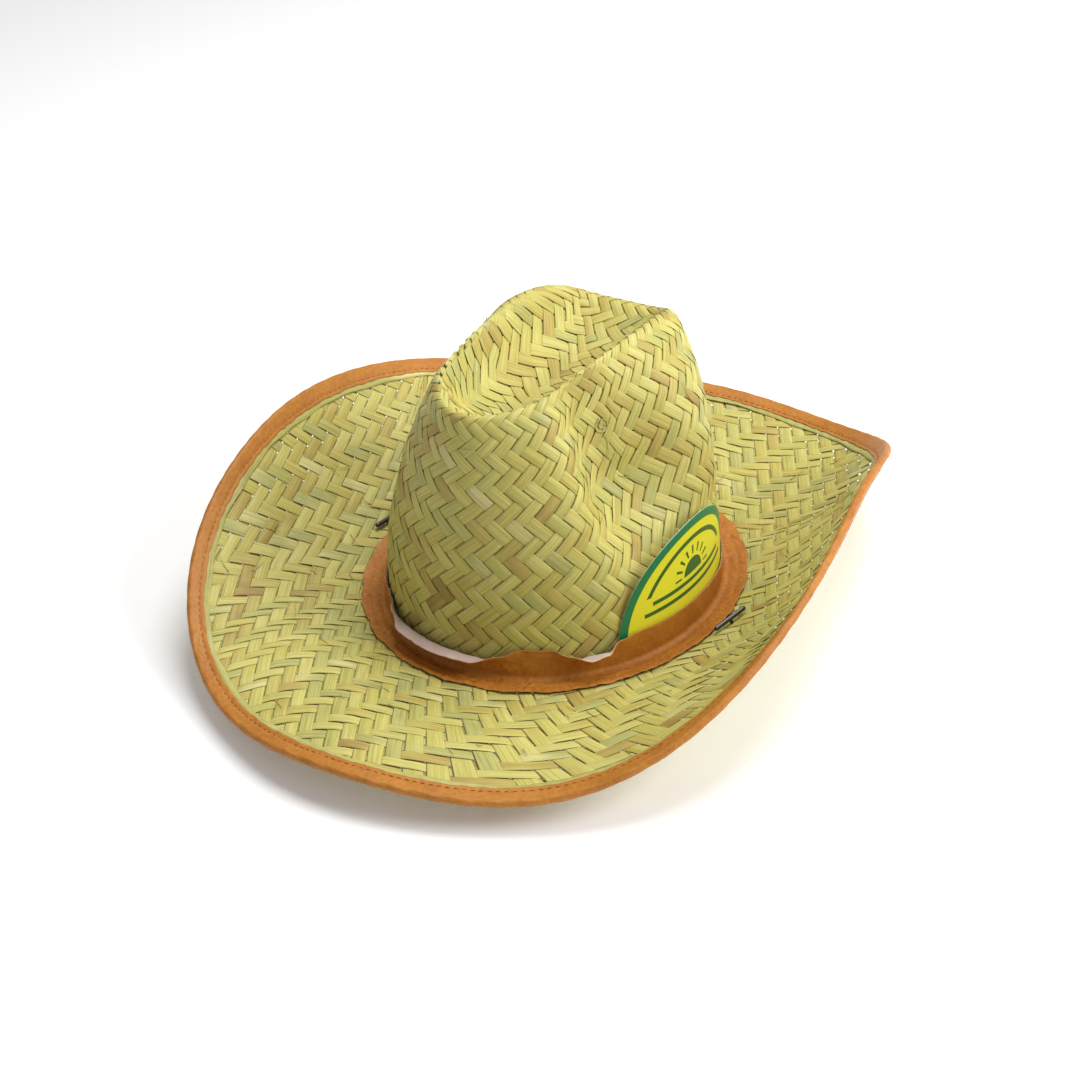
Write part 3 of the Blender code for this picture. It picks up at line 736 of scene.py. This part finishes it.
def hatband_grid():
    """The hatband's outer face: the sewn flange, the turn, and the wavy free edge round the crown."""
    angle = ring_angles(STRIP_STEPS)[:, None]
    reach = np.array(FLANGE_REACHES)[None, :]
    outer, inner = FLANGE_SEAMS.values()
    flat = 1.0 - (reach - FLANGE_REACHES[-1]) / (FLANGE_REACHES[0] - FLANGE_REACHES[-1])
    ripple = creases(angle, flat, 5, 210, 0.011, 0.0007) + 0.00012 * np.sin(angle * 143.0) * (flat < 0.5)
    pull = 0.6 + 0.4 * np.sin(angle * 37.0 + 2.0 * np.sin(angle * 11.0))
    dips = 0.00034 * pull * (seam_dip(reach - outer - GAP) + seam_dip(reach - inner - GAP))
    above = GAP + BAND_THICK - dips + np.maximum(ripple * (1.0 - 0.8 * seam_dip(reach - outer)), -0.0002)
    wavy = 0.0005 * np.sin(angle * 23.0 + 1.0) + 0.0003 * np.sin(angle * 61.0)
    shift = wavy * smooth((reach - 0.0128) / 0.004)
    flange = brim_point(angle, reach + GAP + shift, above)
    height, curl = band_edge(angle)
    share = np.linspace(0.0, 1.0, BAND_ROWS)[None, :]
    slope = curl * smooth((share - CURL_FROM) / CURL_OVER)
    climb, out = np.cumsum(np.cos(slope), axis=1), np.cumsum(np.sin(slope), axis=1)
    climb, out = climb - climb[:, :1], out - out[:, :1]
    size = (height - BAND_FOOT) / climb[:, -1:]
    level = BAND_FOOT + climb * size
    beside_card = np.abs(around_from(angle, CARD_ANGLE)) < CARD_SPAN
    hug = np.where(beside_card, 0.0, 1.0 - smooth(curl / 0.6)) * smooth(share)
    pleats = creases(angle, share, 9, 170, 0.016, 0.0007) * (0.35 + 0.65 * share)
    offset = np.maximum(out * size + pleats, -0.0002) + BAND_CLEAR + BAND_THICK - BAND_HUG * hug
    standing, _ = base_point(angle, offset)
    standing[..., 2] += level
    lean = wall_point(angle, level / rim_point(angle)[2]) - base_point(angle)[0]
    standing[..., :2] += lean[..., :2] * hug[..., None]
    foot, rise = flange[:, -1:], standing[:, :1]
    corner = np.concatenate([rise[..., :2] * 0.8 + foot[..., :2] * 0.2, foot[..., 2:]], axis=-1)
    turn = np.linspace(0.0, 1.0, 6)[None, 1:-1, None]
    bend = foot * (1.0 - turn) ** 2 + corner * (2.0 * turn * (1.0 - turn)) + rise * turn ** 2
    return np.concatenate([flange, bend, standing], axis=1)


def make_hatband(leather, cloth):
    grid = hatband_grid()
    shell("hatband_leatherette", grid, LEATHER_THICK, leather, slot="leatherette", replaced=("hatband",))
    around = np.roll(grid, -1, axis=0) - np.roll(grid, 1, axis=0)
    normal = unit(np.cross(around, np.gradient(grid, axis=1)))
    lining = (grid - normal * (LEATHER_THICK + 0.00003))[:, len(FLANGE_REACHES):]
    lining[:, -1, 2] -= BACKING_THICK
    shell("hatband_backing", lining, BACKING_THICK, cloth, slot="sweatband_cloth")


BINDING_INSETS = (0.0118, 0.0115, 0.0108, 0.0100, 0.0093, 0.0088, 0.0080, 0.0070, 0.0058, 0.0046, 0.0034)
BINDING_STEPS, BINDING_CLOTH = 1300, 0.00045


def binding_slack(angle):
    """How much narrower the binding is folded than its full width. It was sewn on by eye."""
    left = around_from(angle, -45.0)
    return 0.0022 * np.exp(-(left / 0.75) ** 2) + 0.0004 * (1.0 + np.sin(angle * 9.0 + 1.0)) / 2.0


def make_binding(leather):
    """The edge binding: a leg on top, a roll round the wire and a leg underneath."""
    angle = ring_angles(BINDING_STEPS)[:, None]
    edge, slack = brim_reach(angle), binding_slack(angle)
    top = BINDING_GAP + BINDING_THICK
    full = np.array(BINDING_INSETS)[None, :]
    across = (full - BINDING_INSETS[-1]) / (BINDING_INSETS[0] - BINDING_INSETS[-1])
    inset = full - slack * across
    pucker = creases(angle, across, 31, 420, 0.0035, 0.00028)
    stitched = seam_dip(inset - BINDING_WIDTH + BINDING_SEAM + slack, 0.0008)
    hem = 0.00025 * np.sin(angle * 47.0) + 0.0002 * np.sin(angle * 118.0 + 2.0)
    upper = brim_point(angle, edge - inset + hem * across, top + pucker - 0.00035 * stitched + 0.0001)
    turn = np.radians(np.linspace(80.0, -80.0, 12))[None, :]
    roll = ROLL_RADIUS + 0.00012 * np.sin(angle * 83.0 + 4.0 * turn)
    around = brim_point(angle, edge - ROLL_RADIUS + roll * np.cos(turn), -STRAW / 2.0 + roll * np.sin(turn))
    wrinkle = creases(angle, 1.0 - across[:, ::-1], 37, 420, 0.004, 0.0004)
    under = brim_point(angle, edge - inset[:, ::-1], -STRAW - top - np.abs(wrinkle) * 0.8)
    grid = np.concatenate([upper, around, under], axis=1)[:, ::-1]
    shell("binding_leatherette", grid, BINDING_CLOTH, leather, slot="leatherette", replaced=("edge_binding",))


STITCH_RADIUS = 0.00022
STITCH_RISE = (-1.5, 0.3, 0.9, 1.0, 0.9, 0.3, -1.5)     # a stitch's height along its length, in radii


def stitches(name, path, normal, length, spacing, finish, replaced):
    """A row of stitches: short lengths of thread that come up out of the leatherette and go down again."""
    path, normal = (np.concatenate([row, row[:1]]) for row in (path, normal))
    travelled = travel(path)
    count = int(travelled[-1] / spacing)
    parts = MeshParts()
    random = np.random.default_rng(count)
    rise = np.array(STITCH_RISE) * STITCH_RADIUS
    turn = ring_angles(6)
    for stitch in range(count):
        start = stitch * travelled[-1] / count
        stops = start + np.linspace(0.0, length * random.uniform(0.94, 1.04), len(rise))
        place, up = at_stops(path, travelled, stops), unit(at_stops(normal, travelled, stops))
        aside = np.cross(up, unit(np.gradient(place, axis=0)))
        centre = place + up * rise[:, None]
        rings = centre[:, None] + STITCH_RADIUS * (np.cos(turn)[None, :, None] * aside[:, None]
                                                   + np.sin(turn)[None, :, None] * up[:, None])
        parts.add_tube(rings, stack(stops[:, None], turn[None, :], 0.0), random.uniform())
    parts.make(name, finish, "thread", replaced)


def make_stitching(thread):
    angle = ring_angles(STRIP_STEPS)
    for row, reach in FLANGE_SEAMS.items():
        place = brim_point(angle, reach + GAP, GAP + BAND_THICK - 0.00028)
        normal = brim_normal(angle, np.full_like(angle, reach))
        stitches("hatband_stitches_" + row, place, normal, 0.0030, 0.0041, thread, ("hatband_thread_" + row,))
    reach = brim_reach(angle) - BINDING_WIDTH + BINDING_SEAM + binding_slack(angle)
    place, normal = brim_point(angle, reach, BINDING_GAP + BINDING_THICK - 0.00015), brim_normal(angle, reach)
    stitches("binding_stitches", place, normal, 0.0031, 0.0043, thread, ("binding_thread",))


SWEATBAND_STEPS, SWEATBAND_FOOT, SWEATBAND_CLOTH = 480, 0.0007, 0.0010


def make_sweatband(cloth):
    """The strip inside the crown that the hat stands on. It is sewn at its lower edge and slightly rucked."""
    angle = ring_angles(SWEATBAND_STEPS)[:, None]
    share = np.linspace(0.0, 1.0, 16)[None, :]
    level = -CENTRE[2] + SWEATBAND_FOOT + (SWEATBAND_HEIGHT - SWEATBAND_FOOT) * share
    rim = rim_point(angle)[2]
    lean = wall_point(angle, np.maximum(level, 0.0) / rim) - base_point(angle)[0]
    place, _ = base_point(angle, -STRAW - SWEATBAND_CLEAR - 0.0002)
    ruck = creases(angle, share, 41, 120, 0.012, 0.0005) * smooth(share / 0.3)
    rows = place + stack(lean[..., 0], lean[..., 1], level) - base_point(angle)[1] * np.abs(ruck)[..., None]
    shell("sweatband_strip", rows, SWEATBAND_CLOTH, cloth, slot="sweatband_cloth", replaced=("sweatband",))


CARD_COLUMNS, CARD_ROWS, CARD_OFFSET = 80, 28, 0.0010
CARD_REACH = 0.995      # how far out the outermost columns lie, as a share of the half width


def make_card(finish):
    """The half-round card behind the band. Its surface coordinates say where it is printed."""
    across = np.sin(np.pi / 2.0 * np.linspace(-1.0, 1.0, CARD_COLUMNS + 1)) * CARD_REACH
    corner = CARD_FOOT + CARD_CORNER
    top = corner + (CARD_TOP - corner) * np.sqrt(1.0 - across ** 2)
    level = CARD_FOOT + (top - CARD_FOOT)[:, None] * np.linspace(0.0, 1.0, CARD_ROWS + 1)[None, :]
    angle = math.radians(CARD_ANGLE) + CARD_HALF_WIDTH / BASE_Y * across[:, None]
    grid, _ = base_point(angle + np.zeros_like(level), CARD_OFFSET)
    grid[..., 2] += level
    card = shell("card_print", grid, CARD_THICK, finish, closed=False, body="card", slot="printed_card",
                 replaced=("label_card",))
    front, back = (stack(CARD_HALF_WIDTH * across[:, None], level - CARD_FOOT, side) for side in (0.0, 1.0))
    loop = np.concatenate([front, back[:, -1:], back[:, ::-1], back[:, :1]], axis=1)
    card.data.attributes["grain"].data.foreach_set("vector", loop.astype(np.float32).ravel())


# ---------------- small straw pieces

HEM_INSETS = (0.0150, 0.0143, 0.0133, 0.0118, 0.0108)       # across the hem strand, from the brim's edge
HEM_HEIGHTS = (0.00010, 0.00034, 0.00042, 0.00034, 0.00010)
HEM_THICK, HEM_TINT = 0.0003, 0.9


def make_hem(finish):
    """The pale strand that runs round just inside the binding and holds the plait's ends."""
    angle = ring_angles(STRIP_STEPS)[:, None]
    wander = 0.0005 * np.sin(angle * 17.0) + 0.0003 * np.sin(angle * 41.0 + 1.0)
    reach = brim_reach(angle) - np.array(HEM_INSETS)[None, :] + binding_slack(angle) + wander
    above = np.array(HEM_HEIGHTS)[None, :] + 0.00010 * np.sin(angle * 160.0)
    grid = brim_point(angle, reach, above)
    hem = shell("brim_hem", grid, HEM_THICK, finish, slot="straw", replaced=("brim",))
    tints = np.full(len(hem.data.vertices), HEM_TINT, np.float32)
    hem.data.attributes["tint"].data.foreach_set("value", tints)


KNOT_WAY, KNOT_DROP = 11.05, 3.89       # where the plaiting was begun, in the near side's pinch
KNOT_START, KNOT_GROWTH, KNOT_TURN = 0.14, 0.040, 3.4 * math.pi         # the coil, in strands and radians
KNOT_HALF_WIDTH, KNOT_OVAL = 0.075, 0.8
FIBRES, FIBRE_HALF_WIDTH = 90, 0.00022
CROWN_STRAND = 0.011        # a strand of way round or of drop on the crown, in metres


def make_knot(crown, finish):
    """A narrow strand coiled flat where the plaiting was begun."""
    random = np.random.default_rng(3)
    turn = np.linspace(0.0, KNOT_TURN, 60)
    parts, edges = MeshParts(), []
    for share in (-1.0, 0.0, 1.0):
        away = KNOT_START + KNOT_GROWTH * turn + share * KNOT_HALF_WIDTH
        way, drop = KNOT_WAY + away * np.cos(turn), KNOT_DROP + KNOT_OVAL * away * np.sin(turn)
        edges.append(crown.at(*crown.place(way, drop)))
    normal = edges[1][1]
    left, middle, right = (edge - normal * 0.0001 for edge, _ in edges)
    add_strand(parts, left, middle, right, normal, 0.0003 * np.sin(turn * 5.0), random)
    parts.make("crown_knot", finish, "straw", ("crown",))


def make_fibres(crown, finish):
    """Split ends of straw that stand off the plait here and there."""
    random = np.random.default_rng(77)
    parts = MeshParts()
    stops = np.linspace(0.0, 1.0, 7)
    for number in range(FIBRES):
        length, heading = random.uniform(0.005, 0.014), random.uniform(0.0, 2.0 * np.pi)
        rise = random.uniform(0.0006, 0.0022)
        bow = random.uniform(-0.5, 0.5) * stops
        along, aside = length * stops * np.cos(heading + bow), length * stops * np.sin(heading + bow)
        if number % 3:
            angle = random.uniform(0.0, 2.0 * np.pi)
            reach = random.uniform(0.024, 0.098)
            around = angle + aside / (BASE_Y + reach)
            kept = np.minimum(reach + along, brim_reach(around) - 0.014)
            place, normal = brim_face(around, kept), brim_normal(around, kept)
        else:
            way, drop = random.uniform(0.0, STRANDS), random.uniform(1.0, crown.height - 4.0)
            place, normal = crown.at(*crown.place(way + aside / CROWN_STRAND, drop + along / CROWN_STRAND))
        middle = place + normal * (rise * stops ** 2)[:, None]
        ahead = unit(np.gradient(middle, axis=0))
        half = np.cross(ahead, normal) * (FIBRE_HALF_WIDTH * (1.0 - 0.7 * stops))[:, None]
        add_strand(parts, middle - half, middle, middle + half, normal, np.zeros(len(stops)), random)
    parts.make("straw_fibres", finish, "straw", ("brim",))


# ---------------- chin elastic

def hole_frame(side):
    """Where a chin cord hole pierces the brim, as a matrix whose Z axis leaves the upper face."""
    angle = math.radians(HOLE_ANGLES[side])
    place = Vector(brim_point(angle, HOLE_REACH))
    up = Vector(brim_normal(np.array(angle), np.array(HOLE_REACH)))
    back = (Vector((0.0, 1.0, 0.0)) - up * up.y).normalized()
    made = Matrix((back.cross(up), back, up)).transposed().to_4x4()
    made.translation = place
    return made


def cord_route():
    """Places that the cord passes, from the wearer's left hole to the right one."""
    lies = CORD_RADIUS + CORD_LIFT
    out, back, above = CORD_TURN
    ends = {}
    for side, outwards in (("left", out), ("right", -out)):
        hole = hole_frame(side)
        top = hole @ Vector((0.0, 0.0, -GAP))
        below = hole @ Vector((0.0, 0.0, -CORD_DROP))
        ends[side] = [top, below, Vector((below.x + outwards, below.y + back, lies + above))]
    route = ends["left"]
    for bearing, radius in CORD_SWINGS:
        turn = math.radians(bearing)
        route.append(Vector((CENTRE[0] + radius * math.cos(turn), CENTRE[1] + radius * math.sin(turn), lies)))
    return route + ends["right"][::-1]


ROUTE_STEPS = 14


def smooth_route(route):
    """A smooth curve through the route's places."""
    points = []
    for index in range(len(route) - 1):
        before, after = route[max(index - 1, 0)], route[min(index + 2, len(route) - 1)]
        here, there = route[index], route[index + 1]
        span = (there - here).length
        lead_in = (there - before) * (span / max((there - before).length, span))
        lead_out = (after - here) * (span / max((after - here).length, span))
        for step in range(ROUTE_STEPS):
            t = step / ROUTE_STEPS
            point = (here * (2 * t ** 3 - 3 * t ** 2 + 1) + lead_in * (t ** 3 - 2 * t ** 2 + t)
                     + there * (3 * t ** 2 - 2 * t ** 3) + lead_out * (t ** 3 - t ** 2))
            point.z = max(point.z, CORD_RADIUS + CORD_LIFT)
            points.append(point)
    return points + [route[-1]]


def make_elastic(finish):
    points = smooth_route(cord_route())
    curve = bpy.data.curves.new("elastic", "CURVE")
    curve.dimensions = "3D"
    curve.bevel_depth = CORD_RADIUS
    curve.bevel_resolution = 4
    curve.use_fill_caps = True
    spline = curve.splines.new("POLY")
    spline.points.add(len(points) - 1)
    for place, point in zip(spline.points, points):
        place.co = (*point, 1.0)
    curve.materials.append(finish)
    elastic = bpy.data.objects.new("elastic", curve)
    bpy.context.scene.collection.objects.link(elastic)
    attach(elastic, "hat")
    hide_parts("chin_elastic")
    length = sum((after - before).length for before, after in zip(points, points[1:]))
    tuple(points[0])


# ---------------- materials

class Nodes:
    """Short ways to build one material's nodes."""

    def __init__(self, name, roughness, specular=0.5):
        self.material = bpy.data.materials.new(name)
        self.material.use_nodes = True
        self.tree = self.material.node_tree
        self.shader = self.tree.nodes["Principled BSDF"]
        self.shader.inputs["Roughness"].default_value = roughness
        self.shader.inputs["Specular IOR Level"].default_value = specular

    def link(self, source, target):
        self.tree.links.new(source, target)

    def own_place(self):
        return self.add("ShaderNodeTexCoord").outputs["Object"]

    def split(self, vector):
        node = self.add("ShaderNodeSeparateXYZ", Vector=vector)
        return [node.outputs[axis] for axis in "XYZ"]

    def add(self, kind, **inputs):
        node = self.tree.nodes.new(kind)
        for name, value in inputs.items():
            self.put(node.inputs[name.replace("_", " ")], value)
        return node

    def put(self, socket, value):
        if isinstance(value, bpy.types.NodeSocket):
            self.link(value, socket)
        else:
            socket.default_value = value

    def attribute(self, name, output):
        node = self.tree.nodes.new("ShaderNodeAttribute")
        node.attribute_name = name
        return node.outputs[output]

    def math(self, operation, *values, clamp=False):
        node = self.tree.nodes.new("ShaderNodeMath")
        node.operation = operation
        node.use_clamp = clamp
        for socket, value in zip(node.inputs, values):
            self.put(socket, value)
        return node.outputs[0]

    def times(self, first, second):
        return self.math("MULTIPLY", first, second)

    def scaled(self, vector, scale):
        node = self.tree.nodes.new("ShaderNodeVectorMath")
        node.operation = "MULTIPLY"
        self.put(node.inputs[0], vector)
        node.inputs[1].default_value = scale
        return node.outputs[0]

    def noise(self, vector, scale, detail=2.0, rough=0.5):
        node = self.add("ShaderNodeTexNoise", Vector=vector, Scale=scale, Detail=detail, Roughness=rough)
        return node.outputs["Fac"]

    def ramp(self, factor, stops):
        node = self.tree.nodes.new("ShaderNodeValToRGB")
        self.link(factor, node.inputs[0])
        elements = node.color_ramp.elements
        while len(elements) < len(stops):
            elements.new(0.5)
        for element, (place, colour) in zip(elements, stops):
            element.position = place
            element.color = (*colour, 1.0)
        return node.outputs[0]

    def mix(self, factor, first, second, blend="MIX"):
        node = self.tree.nodes.new("ShaderNodeMix")
        node.data_type = "RGBA"
        node.blend_type = blend
        self.put(node.inputs[0], factor)
        for socket, value in ((node.inputs[6], first), (node.inputs[7], second)):
            if isinstance(value, tuple):
                value = (*value, 1.0)
            self.put(socket, value)
        return node.outputs[2]

    def bump(self, height, strength, distance):
        node = self.add("ShaderNodeBump", Strength=strength, Distance=distance, Height=height)
        self.link(node.outputs[0], self.shader.inputs["Normal"])

    def colour(self, value):
        self.put(self.shader.inputs["Base Color"], value)

    def range(self, value, low, high):
        node = self.add("ShaderNodeMapRange", Value=value)
        node.inputs["To Min"].default_value = low
        node.inputs["To Max"].default_value = high
        return node.outputs[0]


WHITE = (1.0, 1.0, 1.0)
STRAW_TONES = ((0.00, (0.400, 0.275, 0.080)), (0.07, (0.510, 0.400, 0.115)), (0.20, (0.590, 0.515, 0.145)),
               (0.42, (0.610, 0.560, 0.160)), (0.58, (0.665, 0.610, 0.200)), (0.74, (0.560, 0.535, 0.160)),
               (0.87, (0.480, 0.475, 0.170)), (0.95, (0.690, 0.635, 0.260)), (1.00, (0.720, 0.665, 0.330)))


def straw_material():
    """Split palm: long fibres, patches of green and tan along each strand, a slight gloss."""
    m = Nodes("straw", 0.5, 0.35)
    grain = m.attribute("grain", "Vector")
    tint = m.attribute("tint", "Fac")
    patch = m.noise(m.scaled(grain, (22.0, 30.0, 1.0)), 1.0, 3.0)
    own = m.math("ADD", m.times(tint, 0.86), 0.07)
    tone = m.math("ADD", own, m.times(m.math("SUBTRACT", patch, 0.5), 0.55), clamp=True)
    base = m.ramp(tone, STRAW_TONES)
    fibres = m.noise(m.scaled(grain, (55.0, 3600.0, 1.0)), 1.0, 3.0, 0.65)
    streaks = m.noise(m.scaled(grain, (14.0, 900.0, 1.0)), 1.0, 2.0, 0.5)
    lined = m.mix(1.0, base, m.ramp(fibres, ((0.30, (0.70, 0.68, 0.60)), (0.62, WHITE))), "MULTIPLY")
    streaked = m.mix(1.0, lined, m.ramp(streaks, ((0.34, (0.84, 0.79, 0.62)), (0.56, WHITE))), "MULTIPLY")
    specks = m.noise(m.scaled(grain, (260.0, 1300.0, 1.0)), 1.0, 1.0)
    speckled = m.ramp(specks, ((0.70, (0.0, 0.0, 0.0)), (0.80, (0.6, 0.6, 0.6))))
    m.colour(m.mix(speckled, streaked, (0.30, 0.19, 0.06)))
    m.put(m.shader.inputs["Roughness"], m.range(fibres, 0.62, 0.42))
    m.bump(m.math("ADD", fibres, m.times(streaks, 1.5)), 0.45, 0.00018)
    return m.material


# A lit and a shaded tone of the leatherette. Where they are mixed in patches, the shaded one is painted
# shade.
LEATHER_LIT_TONE, LEATHER_SHADED_TONE = (0.560, 0.228, 0.028), (0.400, 0.135, 0.013)


def leather_material():
    """Thin coated cloth: fine pebble grain, slightly shiny. Its colour has painted shade: it runs in uneven
    random patches from a lit tone to a shaded tone.
    """
    m = Nodes("leatherette", 0.5, 0.4)
    place = m.own_place()
    pebble = m.tree.nodes.new("ShaderNodeTexVoronoi")
    m.link(place, pebble.inputs["Vector"])
    pebble.inputs["Scale"].default_value = 1500.0
    patches = m.noise(place, 45.0, 4.0)
    fine = m.noise(place, 420.0, 3.0)
    # Painted shade: random patches darken the lit tone towards the shaded one, wherever the light falls.
    painted_shade_patches = m.mix(m.range(patches, -0.25, 1.25), LEATHER_SHADED_TONE, LEATHER_LIT_TONE)
    shade = m.ramp(fine, ((0.30, (0.80, 0.78, 0.74)), (0.65, WHITE)))
    m.colour(m.mix(1.0, painted_shade_patches, shade, "MULTIPLY"))
    m.put(m.shader.inputs["Roughness"], m.range(fine, 0.42, 0.60))
    height = m.math("ADD", m.times(pebble.outputs["Distance"], 0.5), m.times(fine, 2.0))
    m.bump(height, 0.35, 0.0003)
    return m.material


def cloth_material(name, light, dark, threads=1400.0):
    """Plain woven cloth, by its own surface coordinates."""
    m = Nodes(name, 0.9, 0.15)
    grain = m.attribute("grain", "Vector")
    warp, weft = (m.math("SINE", m.times(way, threads * math.pi)) for way in m.split(grain)[:2])
    weave = m.times(warp, weft)
    patches = m.noise(m.scaled(grain, (60.0, 60.0, 1.0)), 1.0, 3.0)
    shade = m.math("ADD", m.times(weave, 0.25), patches)
    m.colour(m.ramp(shade, ((0.20, dark), (0.70, light))))
    m.bump(weave, 0.4, 0.0002)
    m.shader.inputs["Sheen Weight"].default_value = 0.25
    return m.material


def thread_material():
    """Twisted thread, with ribs that run round it at a slant."""
    m = Nodes("sewing_thread", 0.7, 0.3)
    along, around, _ = m.split(m.attribute("grain", "Vector"))
    twist = m.math("SINE", m.math("ADD", m.times(along, 9000.0), around))
    m.colour(m.ramp(m.range(twist, 0.0, 1.0), ((0.0, (0.36, 0.13, 0.025)), (1.0, (0.62, 0.27, 0.07)))))
    m.bump(twist, 0.4, 0.0001)
    return m.material


def plastic_material():
    m = Nodes("black_plastic", 0.3, 0.5)
    place = m.own_place()
    scuffs = m.noise(place, 900.0, 4.0, 0.6)
    m.colour(m.ramp(scuffs, ((0.35, (0.010, 0.010, 0.011)), (0.75, (0.030, 0.030, 0.033)))))
    m.put(m.shader.inputs["Roughness"], m.range(scuffs, 0.22, 0.42))
    m.bump(scuffs, 0.08, 0.0002)
    return m.material


def elastic_material():
    """A braided cover, as crossing diagonal ribs along the cord."""
    m = Nodes("black_elastic", 0.8, 0.25)
    along, around, _ = m.split(m.add("ShaderNodeTexCoord").outputs["UV"])
    along, around = m.times(along, 1900.0), m.times(around, 12.0 * math.pi)
    braid = m.times(m.math("SINE", m.math("ADD", along, around)),
                   m.math("SINE", m.math("SUBTRACT", along, around)))
    m.colour(m.ramp(m.range(braid, 0.0, 1.0), ((0.1, (0.008, 0.008, 0.009)), (0.9, (0.040, 0.040, 0.043)))))
    m.bump(braid, 0.6, 0.0003)
    return m.material


def steel_material():
    m = Nodes("wire_steel", 0.35)
    place = m.own_place()
    drawn = m.noise(place, 700.0, 3.0)
    m.shader.inputs["Metallic"].default_value = 1.0
    m.colour(m.ramp(drawn, ((0.3, (0.36, 0.36, 0.38)), (0.7, (0.58, 0.58, 0.60)))))
    m.put(m.shader.inputs["Roughness"], m.range(drawn, 0.28, 0.45))
    return m.material


CARD_GREEN, CARD_YELLOW = (0.008, 0.190, 0.070), (0.780, 0.740, 0.030)
CARD_BORDER = 0.0052


def card_material():
    """A green border and a yellow face, with a plain sun, two plain bars and an arc."""
    m = Nodes("printed_card", 0.35, 0.5)
    across, up, back = m.split(m.attribute("grain", "Vector"))

    def inside(value, limit):
        return m.math("LESS_THAN", value, limit)

    def oval(half_width, height, foot=0.0):
        x = m.math("DIVIDE", across, half_width)
        y = m.math("DIVIDE", m.math("MAXIMUM", m.math("SUBTRACT", up, foot), 0.0), height)
        return m.math("ADD", m.times(x, x), m.times(y, y))

    height = CARD_TOP - CARD_FOOT
    face = inside(oval(CARD_HALF_WIDTH - CARD_BORDER, height - CARD_BORDER - CARD_CORNER, CARD_CORNER), 1.0)
    sun_up = m.math("SUBTRACT", up, 0.030)
    squares = m.math("ADD", m.times(across, across), m.times(sun_up, sun_up))
    radius = m.math("SQRT", squares)
    bearing = m.math("ARCTAN2", across, sun_up)
    rays = inside(m.math("ABSOLUTE", m.math("SINE", m.times(bearing, 8.0))), 0.45)
    ring = m.times(m.math("GREATER_THAN", radius, 0.0110), inside(radius, 0.0165))
    sun = m.math("MAXIMUM", inside(radius, 0.0088), m.times(ring, rays))
    sun = m.times(sun, m.math("GREATER_THAN", sun_up, -0.0005))
    bars = 0.0
    for level, reach in ((0.0255, 0.034), (0.0195, 0.040)):
        bar = m.times(inside(m.math("ABSOLUTE", m.math("SUBTRACT", up, level)), 0.0013),
                     inside(m.math("ABSOLUTE", across), reach))
        bars = m.math("MAXIMUM", bar, bars)
    arc_oval = oval(CARD_HALF_WIDTH - 0.0105, height - 0.0105, 0.0)
    arc = m.times(inside(arc_oval, 1.0), m.math("GREATER_THAN", arc_oval, 0.890))
    arc = m.times(arc, m.math("GREATER_THAN", up, 0.030))
    printed = m.math("MAXIMUM", m.math("MAXIMUM", sun, bars), arc)
    speckle = m.noise(m.attribute("grain", "Vector"), 700.0, 2.0)
    yellow = m.mix(m.times(speckle, 0.15), CARD_YELLOW, (0.70, 0.66, 0.05))
    inked = m.mix(printed, yellow, (0.030, 0.120, 0.020))
    front = m.mix(face, CARD_GREEN, inked)
    m.colour(m.mix(m.math("GREATER_THAN", back, 0.5), front, (0.62, 0.60, 0.54)))
    m.bump(speckle, 0.05, 0.0002)
    return m.material


# ---------------- floor and light

def make_stage():
    bpy.ops.mesh.primitive_plane_add(size=8.0, location=(0.0, 0.0, -0.0002))
    floor = bpy.context.object
    floor.name = "floor"
    m = Nodes("floor", 0.9, 0.1)
    m.colour((0.95, 0.95, 0.95, 1.0))
    m.shader.inputs["Emission Color"].default_value = (1.0, 1.0, 1.0, 1.0)
    m.shader.inputs["Emission Strength"].default_value = 0.10      # faintly lit, to keep the ground white
    floor.data.materials.append(m.material)


LIGHT_TARGET = Vector((0.0, 0.0, 0.06))


def area_light(name, place, size, power_watts):
    light = bpy.data.lights.new(name, "AREA")
    light.shape = "DISK"
    light.size = size
    light.energy = power_watts
    made = bpy.data.objects.new(name, light)
    made.location = place
    made.rotation_euler = (Vector(place) - LIGHT_TARGET).to_track_quat("Z", "Y").to_euler()
    bpy.context.scene.collection.objects.link(made)


def make_light():
    world = bpy.data.worlds.new("studio")
    bpy.context.scene.world = world
    world.use_nodes = True
    background = world.node_tree.nodes["Background"]
    background.inputs["Color"].default_value = (1.0, 1.0, 1.0, 1.0)
    background.inputs["Strength"].default_value = 0.36
    bpy.context.scene.view_settings.view_transform = "Standard"
    area_light("overhead", (0.05, 0.55, 1.55), 1.0, 20.0)
    area_light("side", (1.25, 0.35, 0.95), 0.9, 18.0)


# ---------------- the whole hat

def main():
    make_camera()
    make_elastic(elastic_material())
    straw = straw_material()
    leather = leather_material()
    backing = cloth_material("backing_cloth", (0.72, 0.56, 0.50), (0.50, 0.34, 0.28))
    sweat = cloth_material("sweatband_cloth", (0.74, 0.70, 0.60), (0.52, 0.48, 0.40), 1000.0)
    crown = plait_crown(straw)
    plait_brim(straw)
    make_hem(straw)
    make_knot(crown, straw)
    make_fibres(crown, straw)
    make_hatband(leather, backing)
    make_binding(leather)
    make_stitching(thread_material())
    make_sweatband(sweat)
    make_card(card_material())
    plastic = plastic_material()
    steel = steel_material()
    for name, finish in (("toggle_bar_left", plastic), ("toggle_bar_right", plastic), ("brim_wire", steel)):
        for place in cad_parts[name].material_slots:
            place.material = finish
    make_stage()
    make_light()


main()
